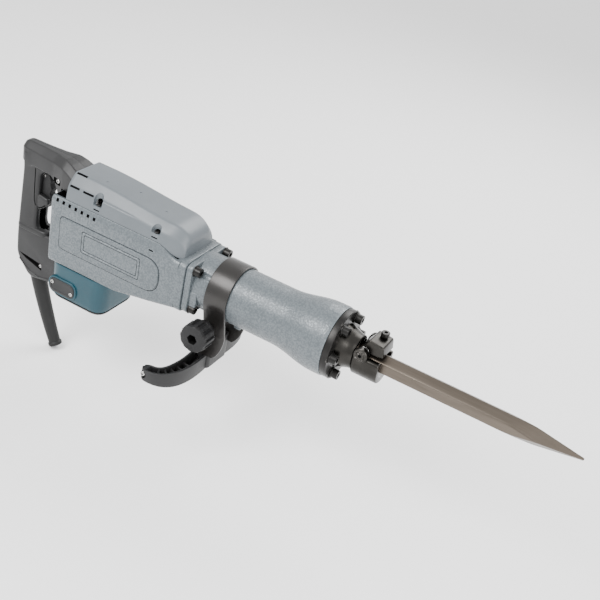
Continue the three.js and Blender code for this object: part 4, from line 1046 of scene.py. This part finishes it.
def along_guard(t):
    """Points of a quadratic curve in the middle plane, from the grip's foot to the lip."""
    spots = quadratic(GUARD_START, GUARD_BEND, GUARD_END, np.asarray(t)[:, None])
    return np.column_stack([spots[:, 0], np.zeros(len(spots)), spots[:, 1]])


guard_t = np.concatenate([np.linspace(0, 0.955, 48), [0.962, 0.968, 0.985, 0.995, 1.0]])
guard_radius = np.where(guard_t < LIP_FROM, GUARD_R - GUARD_NARROWS * guard_t, LIP_R)
guard_radius[[-5, -1]] = LIP_EDGE_R
guard_rings = guard_radius[:, None, None] * ring(1.0, 48)
guard = solid("guard_sleeve", swept(along_guard(guard_t), guard_rings), RUBBER)
# The guard's bore is lined with the near-black painted shade.
combine(guard, [swept(along_guard([0.9, 0.95, 1.0, 1.02]), ring(5.0, 32))], PAINTED_SHADE)
belongs(guard, "frame", "black_rubber", "cord_guard")

# %% [markdown]
# ## Clamp band, bow and knob
#
# A steel strap goes over the barrel, and its legs hold a moulded bow that the second hand grips. The strap
# is one section carried over the arch. The bow is a channel with cross ribs whose plan follows two curves,
# one to each tip. The knob is a stack of rings whose radius rises and falls, so its flutes are a formula.
# %% Clamp band shape
(band_rear, _, leg_foot), _ = box_of("clamp_band")
BAND_R, BAND_THICK, BAND_LEAN = 49.3, 3.5, np.radians(20)
LEG_TOP, LEG_HALF, LEG_SPREAD = 70, 32.25, 2
BOLT_X, BOLT_Z = 263.0, 81.0
BOLT = (BOLT_X, BOLT_Z)
lean_angles = np.linspace(np.pi + BAND_LEAN, -BAND_LEAN, 44)
arch = (BAND_R + BAND_THICK / 2) * np.column_stack([np.cos(lean_angles), np.sin(lean_angles)]) + CENTRE
leg_z = np.linspace(leg_foot, LEG_TOP, 14)
leg = np.column_stack([-LEG_HALF - LEG_SPREAD * (leg_z - leg_foot) / (LEG_TOP - leg_foot), leg_z])
band_line = softened(np.vstack([leg, arch, leg[::-1] * (-1, 1)]), 14, 4)
band_step = np.gradient(band_line, axis=0)
band_normal = np.column_stack([-band_step[:, 1], band_step[:, 0]])
band_normal /= np.linalg.norm(band_normal, axis=1, keepdims=True)
print("strap", len(band_line), "sections round an arch of", BAND_R, "mm")

# %% Clamp band
foot_curve = quadratic((276, leg_foot), (292, leg_foot + 14), (294, LEG_TOP), np.linspace(0, 1, 30)[:, None])
strap_front = np.interp(band_line[:, 1], foot_curve[:, 1], foot_curve[:, 0])
strap_rear = np.full_like(strap_front, band_rear)
strap_half = BAND_THICK / 2
strap = rounded(outlines((strap_rear, -strap_half), (strap_front, -strap_half), (strap_front, strap_half),
                         (strap_rear, strap_half)), 1.2, 5)
strap_arch = band_line[:, None] + strap[..., 1:] * band_normal[:, None]
band = solid("clamp_strap", np.concatenate([strap[..., :1], strap_arch], axis=-1), BAND_PAINT)
combine(band, [bore(-70, 70, BOLT_HOLE_R, "Y", BOLT, 32)], BAND_PAINT)
belongs(band, "side_handle", "black_steel", "clamp_band")

# %% Bow shape
BOW_LOW, BOW_HIGH, BOW_WALL = -12.0, 21.0, 4.0
BOW_HALF, BOW_NARROWS, BOW_SINKS = 14, 4, 8.0
TIP_FROM, TIP_CLOSES = 0.93, 0.86
ARM = np.array([(249, 15), (257, 79), (251, 128), (200, 119)], float)


def arm_points(t):
    """Points of the cubic curve of the left arm, and its directions."""
    t = np.asarray(t, float)[:, None]
    spot = ((1 - t) ** 3 * ARM[0] + 3 * t * (1 - t) ** 2 * ARM[1] + 3 * t ** 2 * (1 - t) * ARM[2]
            + t ** 3 * ARM[3])
    way = quadratic(*np.diff(ARM, axis=0), t)
    return spot, way / np.linalg.norm(way, axis=1, keepdims=True)


def bow_grid():
    """A channel section carried from one tip to the other: it narrows, sinks and closes towards the tips."""
    tip_turn = np.sin(np.linspace(0.15, np.pi / 2, 12))
    t = np.concatenate([np.linspace(0, TIP_FROM, 44), TIP_FROM + (1 - TIP_FROM) * tip_turn])
    spot, way = arm_points(t)
    spot = np.vstack([(spot * (1, -1))[::-1], spot])
    way = np.vstack([(way * (-1, 1))[::-1], way])
    t = np.concatenate([t[::-1], t])
    outward = np.column_stack([way[:, 1], -way[:, 0]])
    closing = (np.clip(t - TIP_FROM, 0, 1) / (1 - TIP_FROM)) ** 2
    half = (BOW_HALF - BOW_NARROWS * t) * np.sqrt(1 - TIP_CLOSES * closing)
    inner = np.maximum(half - BOW_WALL, 0.4 * half)
    top = BOW_HIGH - BOW_SINKS * smooth_step(t, 0.35, 1.0)
    bottom = BOW_LOW + 2.0 * smooth_step(t, 0.5, 1.0)
    well = bottom + 6 + (top - bottom - 6.6) * smooth_step(t, 0.91, 0.935)
    corners = outlines((-half, top), (-half, bottom), (half, bottom), (half, top),
                       (inner, top), (inner, well), (-inner, well), (-inner, top))
    radii = np.minimum(1, half / 9)[:, None] * [1.4, 4.0, 4.0, 1.4, 0.9, 0.25, 0.25, 0.9]
    section = rounded(corners, radii, 5)
    plan = spot[:, None] + section[..., :1] * outward[:, None]
    return np.concatenate([plan, section[..., 1:]], axis=-1)


print("bow arms end at", arm_points([1.0])[0].tolist(), "mm")

# %% Bow
TIP_SPOT, TIP_FACE, TIP_HOLE_R = (205.0, 3.0), 126.5, 7.0
RIB_HALF, RIB_REACH = 1.4, 8.6
bow = solid("side_bow_channel", bow_grid(), BLACK)
# The tip holes are lined with the near-black painted shade.
for side in SIDES.values():
    combine(bow, [bore(*sorted((side * TIP_FACE, side * 140.0)), TIP_HOLE_R, "Y", TIP_SPOT, 40)], PAINTED_SHADE)
for spot, way in zip(*arm_points([0.30, 0.42, 0.54, 0.66, 0.78])):
    across = np.array([way[1], -way[0]])
    corners = np.array([spot + way * a * RIB_HALF + across * b * RIB_REACH
                        for a, b in ((-1, -1), (1, -1), (1, 1), (-1, 1))])
    for flip in ((1, 1), (1, -1)):
        rib = plate(rounded(corners * flip, 0.4, 3), BOW_LOW + 4, BOW_HIGH - 8, "Z", 0.8)
        combine(bow, [rib], BLACK, "UNION")
combine(bow, [plate(rectangle(245, 269, -30, 30, 7), BOW_LOW + 4, 42, "Z", 3.0, 2.0)], BLACK, "UNION")
belongs(bow, "side_handle", "black_plastic", "side_bow")
for label, side in SIDES.items():
    small_screw(f"bow_screw_{label}", TIP_SPOT, side * TIP_FACE, "Y", 4.6, 3.4, side, "side_handle")

# %% Knob
KNOB_FLUTES, KNOB_POINTS = 12, 192
HEX_SOCKET_R, THREAD_HOLE_R = 9.5, 5.3
knob_angle = np.linspace(0, 2 * np.pi, KNOB_POINTS, endpoint=False)
flute = np.tanh(5 * np.cos(KNOB_FLUTES * knob_angle))
# Each ring: distance from the middle plane, radius, depth of the flutes.
KNOB_RINGS = ((-88, 21.8, 0.2), (-87.4, 23.0, 0.3), (-86, 23.8, 0.45), (-80.5, 24.0, 0.5), (-80, 23.2, 1.7),
              (-59, 23.2, 1.7), (-58.4, 22.8, 0.5), (-55.5, 22.4, 0.4), (-54.2, 20.6, 0.2))
knob_y, knob_r, knob_depth = np.array(KNOB_RINGS).T
knob_reach = knob_r[:, None] + knob_depth[:, None] * flute
knob_loops = ring(1.0, KNOB_POINTS) * knob_reach[..., None] + BOLT
knob = solid("clamp_hand_knob", placed(knob_loops, knob_y, "Y"), GRIP)
skirt = softened([(-56, 0), (-56, 15), (-43.2, 13.5), (-43.2, 0)], 1.0)
combine(knob, [lathe(skirt, "Y", BOLT)], GRIP, "UNION")
# The hexagon socket and the thread hole are lined with the near-black painted shade.
combine(knob, [bore(-92, -68, HEX_SOCKET_R, "Y", BOLT, 6)], PAINTED_SHADE)
combine(knob, [bore(-92, -40, THREAD_HOLE_R, "Y", BOLT, 32)], PAINTED_SHADE)
belongs(knob, "knob", "black_plastic", "clamp_knob")

# %% Knob nut and clamp bolt
nut_body = lathe([(-74, 0), (-74, 6.4), (-73, 8.4), (-68.2, 8.4), (-68.2, 0)], "Y", BOLT, 6)
nut = solid("knob_nut", nut_body, GUNMETAL)
combine(nut, [boss(-76.5, -69, 4.4, 1.0, "Y", BOLT, 24)], GUNMETAL, "UNION")
belongs(nut, "knob", "gunmetal")
shank = lathe([(-64, 0), (-64, 4.4), (-63.4, 5), (42, 5), (42, 0)], "Y", BOLT, 32)
bolt_head = lathe([(42.1, 0), (42.1, 9.2), (47.2, 9.2), (48, 8.2), (48, 0)], "Y", BOLT, 6)
stem = solid("clamp_bolt_stem", [shank, bolt_head], BLACK_STEEL)
belongs(stem, "side_handle", "black_steel", "clamp_bolt")

# %% [markdown]
# ## Nose and its screws
#
# A turned cover closes the barrel and holds the hexagon bush. Its plate is blackened, and its neck is bare
# dark metal. Six cap screws with washers hold it on, and four more hold the barrel's flange. All ten come
# from one profile.
# %% Nose cover
(cover_plate_x, _, _), (neck_x, plate_r, _) = box_of("front_cover")
PLATE_FACE, NECK_BORE = 486, 23.3
nose_spots = [middle_of(f"nose_bolt_{i}")[1:] for i in range(1, 7)]
nose = solid("nose_plate", boss(cover_plate_x, PLATE_FACE, plate_r, 1.6, "X", CENTRE, 128), BLACK_STEEL)
neck = softened([(480, 0), (480, 38), (487, 37.5), (494, 35), (503, 31), (509, 29.4), (neck_x, 29),
                 (neck_x, 0)], 2.5)
combine(nose, [lathe(neck, "X", CENTRE, 96)], GUNMETAL, "UNION")
for spot in nose_spots:
    pad = lathe([(484, 0), (484, 12), (486.2, 11.2), (486.2, 0)], "X", spot, 40)
    combine(nose, [pad], BLACK_STEEL, "UNION")
combine(nose, [bore(470, 520, NECK_BORE, "X", CENTRE)], BRIGHT)
for spot in nose_spots:
    combine(nose, [bore(470, 490, BOLT_HOLE_R, "X", spot, 24)], BLACK_STEEL)
belongs(nose, "frame", "gunmetal", "front_cover")

# %% Cap screws
SHANK_R, WASHER_R, HEAD_R, KEY_R, KEY_DEEP = 5, 9.7, 8.0, 4.2, 6


def cap_screw(name, node, seat, washer):
    """A washer, a cylinder head with a hexagon socket, and a shank, all on the node's own axis."""
    spot = middle_of(node)[1:]
    tail, top = box_of(node)[0][0], box_of(node)[1][0]
    profile = softened([(tail, 0), (tail, SHANK_R), (seat, SHANK_R), (seat, WASHER_R),
                        (seat + washer, WASHER_R), (seat + washer, HEAD_R), (top, HEAD_R), (top, 0)], 0.8)
    screw = solid(name, lathe(profile, "X", spot, 48), BLACK_STEEL)
    # The hexagon socket is lined with the near-black painted shade.
    combine(screw, [bore(top - KEY_DEEP, top + 2, KEY_R, "X", spot, 6)], PAINTED_SHADE)
    belongs(screw, "frame", "black_steel", node)


for i in range(1, 7):
    cap_screw(f"nose_cap_screw_{i}", f"nose_bolt_{i}", PLATE_FACE + 0.3, 2.5)
for i in range(1, 5):
    cap_screw(f"flange_cap_screw_{i}", f"flange_bolt_{i}", flange_face + 0.3, 1.5)

# %% [markdown]
# ## Tool retainer
#
# A trough-shaped block in front of the neck carries the cross pin in two ears. The lever block swings on that
# pin, and its lower edge keeps the chisel in. The block is a loop with a half-circle below, carried along the
# axis, and the lever is a loop carried across it.
# %% Retainer block
PIN_X, PIN_Z = 527.0, AXIS_Z + 16
PIN = (PIN_X, PIN_Z)
PIN_HOLE_R = 7.3
TROUGH_R, TROUGH_TOP, TROUGH_MIDDLE = 30, AXIS_Z + 12, AXIS_Z - 4
half_turn = np.linspace(np.pi, 2 * np.pi, 33)
bowl = TROUGH_R * np.column_stack([np.cos(half_turn), np.sin(half_turn)]) + (0, TROUGH_MIDDLE)
rims = rounded([(-TROUGH_R, TROUGH_TOP), (-TROUGH_R, TROUGH_MIDDLE), (TROUGH_R, TROUGH_MIDDLE),
                (TROUGH_R, TROUGH_TOP)], [6, 0.01, 0.01, 6], 6)
trough = np.vstack([rims[:6], bowl, rims[-6:]])
block_rear, block_front = box_of("retainer_block")[0][0], box_of("retainer_block")[1][0]
holder = solid("retainer_trough", plate(trough, block_rear, block_front, "X", 2.5, 2.5), GUNMETAL)
for side in SIDES.values():
    combine(holder, [boss(side * 21.5, side * 32, 12, 1.6, "Y", PIN, 64)], GUNMETAL, "UNION")
combine(holder, [plate(rectangle(-21.5, 21.5, AXIS_Z + 5, AXIS_Z + 40, 1), 500, 580, "X", 0.3)], GUNMETAL)
combine(holder, [bore(500, 580, 18, "X", CENTRE)], GUNMETAL)
combine(holder, [lathe([(555, 0), (555, 18), (561, 23), (561, 0)], "X", CENTRE)], BRIGHT)
# The pin hole is lined with the near-black painted shade.
combine(holder, [bore(-40, 40, PIN_HOLE_R, "Y", PIN, 40)], PAINTED_SHADE)
belongs(holder, "frame", "black_steel", "retainer_block")

# %% Latch lever and cross pin
LEVER_TOP = AXIS_Z + 41
LEVER_BOLT = (545.0, 9.0)
latch_loop = rounded(
    [(PIN_X - 3, PIN_Z + 3), (PIN_X - 5.5, PIN_Z + 10.5), (PIN_X - 1.5, PIN_Z + 14),
     (PIN_X + 4.5, LEVER_TOP + 1), (557, LEVER_TOP - 2), (560, AXIS_Z + 21), (553, AXIS_Z + 18.5),
     (PIN_X + 10, PIN_Z + 2.2)],
    [2, 2, 1.2, 2.5, 3, 2.5, 2, 2], 5)
latch = solid("latch_block", plate(latch_loop, -20, 20, "Y", 2.2, 2.2), GUNMETAL)
combine(latch, [boss(15.6, 20.6, 10.5, 1.0, "Y", PIN)], GUNMETAL, "UNION")
combine(latch, [bore(-40, 40, PIN_HOLE_R, "Y", PIN, 40)], GUNMETAL)
combine(latch, [bore(-22, -15, 12, "Y", PIN, 40)], GUNMETAL)
# The bolt hole is lined with the near-black painted shade.
combine(latch, [bore(LEVER_TOP - 15, LEVER_TOP + 10, 4.3, "Z", LEVER_BOLT, 24)], PAINTED_SHADE)
belongs(latch, "latch", "gunmetal", "latch_lever")

pin = solid("cross_pin", boss(-33, 33, 7, 1.2, "Y", PIN, 40), GUNMETAL)
for side in SIDES.values():
    dish = lathe([(side * 31, 0), (side * 31, 2), (side * 34, 3.4), (side * 34, 0)], "Y", PIN, 32)
    # The dished pin ends are lined with the near-black painted shade.
    combine(pin, [dish], PAINTED_SHADE)
belongs(pin, "frame", "gunmetal", "latch_pin")

# %% Latch screw and spring
COIL_R, WIRE_R, COIL_WIDE, COIL_START = 9.1, 0.8, 3.6, -20
stud_foot, stud_top = box_of("latch_bolt")[0][2], box_of("latch_bolt")[1][2]
stud_seat = LEVER_TOP + 1.3
stud_profile = softened([(stud_foot, 0), (stud_foot, 4), (stud_seat, 4), (stud_seat, 7), (stud_top, 7),
                         (stud_top, 0)], 0.8)
stud = solid("latch_cap_screw", lathe(stud_profile, "Z", LEVER_BOLT, 40), BLACK_STEEL)
# The hexagon socket is lined with the near-black painted shade.
combine(stud, [bore(stud_top - 4.5, stud_top + 1, 3.4, "Z", LEVER_BOLT, 6)], PAINTED_SHADE)
belongs(stud, "latch", "black_steel", "latch_bolt")

coil_angle = np.linspace(0, 4 * np.pi, 140)
coil = np.column_stack([PIN_X + COIL_R * np.cos(coil_angle),
                        COIL_START + COIL_WIDE * coil_angle / (4 * np.pi),
                        PIN_Z + COIL_R * np.sin(coil_angle)])
spring = solid("torsion_spring", swept(coil, ring(WIRE_R, 12)), BRIGHT)
belongs(spring, "frame", "bright_steel", "latch_spring")

# %% [markdown]
# ## Chisel
#
# The bull-point chisel is a hexagon bar with a forged four-sided point. Both shapes are written as a radius
# for each direction, and a soft minimum of the two rounds every edge where they meet, as forging does.
# %% Chisel shape
chisel_tail, chisel_tip = box_of("chisel")[0][0], box_of("chisel")[1][0]
HEX_APOTHEM, HEX_CORNER, POINT_START = 15.0, 16.9 * 1.02, 762.0
DENT_DEEP = 0.004
turn = np.linspace(0, 2 * np.pi, 144, endpoint=False)
to_flat = (turn + np.pi / 6) % (np.pi / 3) - np.pi / 6
chisel_x = np.concatenate([chisel_tail + np.array([0.0, 1.5, 3.0, 4.5]),
                           np.linspace(490, POINT_START - 6, 70),
                           np.linspace(POINT_START, chisel_tip - 2, 56),
                           chisel_tip - np.array([1.2, 0.5, 0.0])])


def soft_minimum(values, power=26.0):
    """(sum of value^-power)^(-1/power): close to the smallest value, but round where two are alike."""
    return sum(value ** -power for value in values) ** (-1 / power)


print("chisel from x", round(chisel_tail, 1), "to", round(chisel_tip, 1), "mm")

# %% Chisel
hexagon = HEX_APOTHEM / np.cos(to_flat)
taper = np.interp(chisel_x, [POINT_START, chisel_tip - 1, chisel_tip], [25.0, 2.6, 0.9])[:, None]
pyramid = taper / (np.abs(np.cos(turn)) + np.abs(np.sin(turn)))
rear_end = np.interp(chisel_x, [chisel_tail, chisel_tail + 4.5, chisel_tail + 5], [14, 18, 90])[:, None]
forged = soft_minimum([hexagon, HEX_CORNER, pyramid, rear_end])
forged *= 1 + DENT_DEEP * np.sin(0.11 * chisel_x)[:, None] * np.cos(2 * turn + 0.05 * chisel_x[:, None])
bar = solid("bull_point", placed(forged[..., None] * ring(1.0, 144) + CENTRE, chisel_x, "X"), FORGED)
notch = rectangle(PIN_X - 25.5, PIN_X + 7.8, PIN_Z - 7.5, AXIS_Z + 40, 3)
combine(bar, [plate(notch, -25, 25, "Y", 0.3)], FORGED)
belongs(bar, "chisel", "forged_steel", "chisel")

# %% [markdown]
# ## Floor and the end
#
# A pale floor lies just under the lowest point of the tool. It isn't part of the object.
# %% Floor
FLOOR_HALF, FLOOR_GAP = 12.0, 0.002
floor_level = min(cad_bounds[0][2], float(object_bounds()[0][2])) - FLOOR_GAP
floor_mesh = bpy.data.meshes.new("floor")
floor_mesh.from_pydata([(x * FLOOR_HALF, y * FLOOR_HALF, floor_level)
                        for x, y in ((-1, -1), (1, -1), (1, 1), (-1, 1))], [], [(0, 1, 2, 3)])
floor = bpy.data.objects.new("floor", floor_mesh)
floor_paint, _, floor_shader = material("floor_paper", Roughness=0.9)
floor_shader.inputs["Base Color"].default_value = rgb(0.93, 0.93, 0.93)
floor_mesh.materials.append(floor_paint)
bpy.context.scene.collection.objects.link(floor)
print("floor at", round(floor_level, 4))
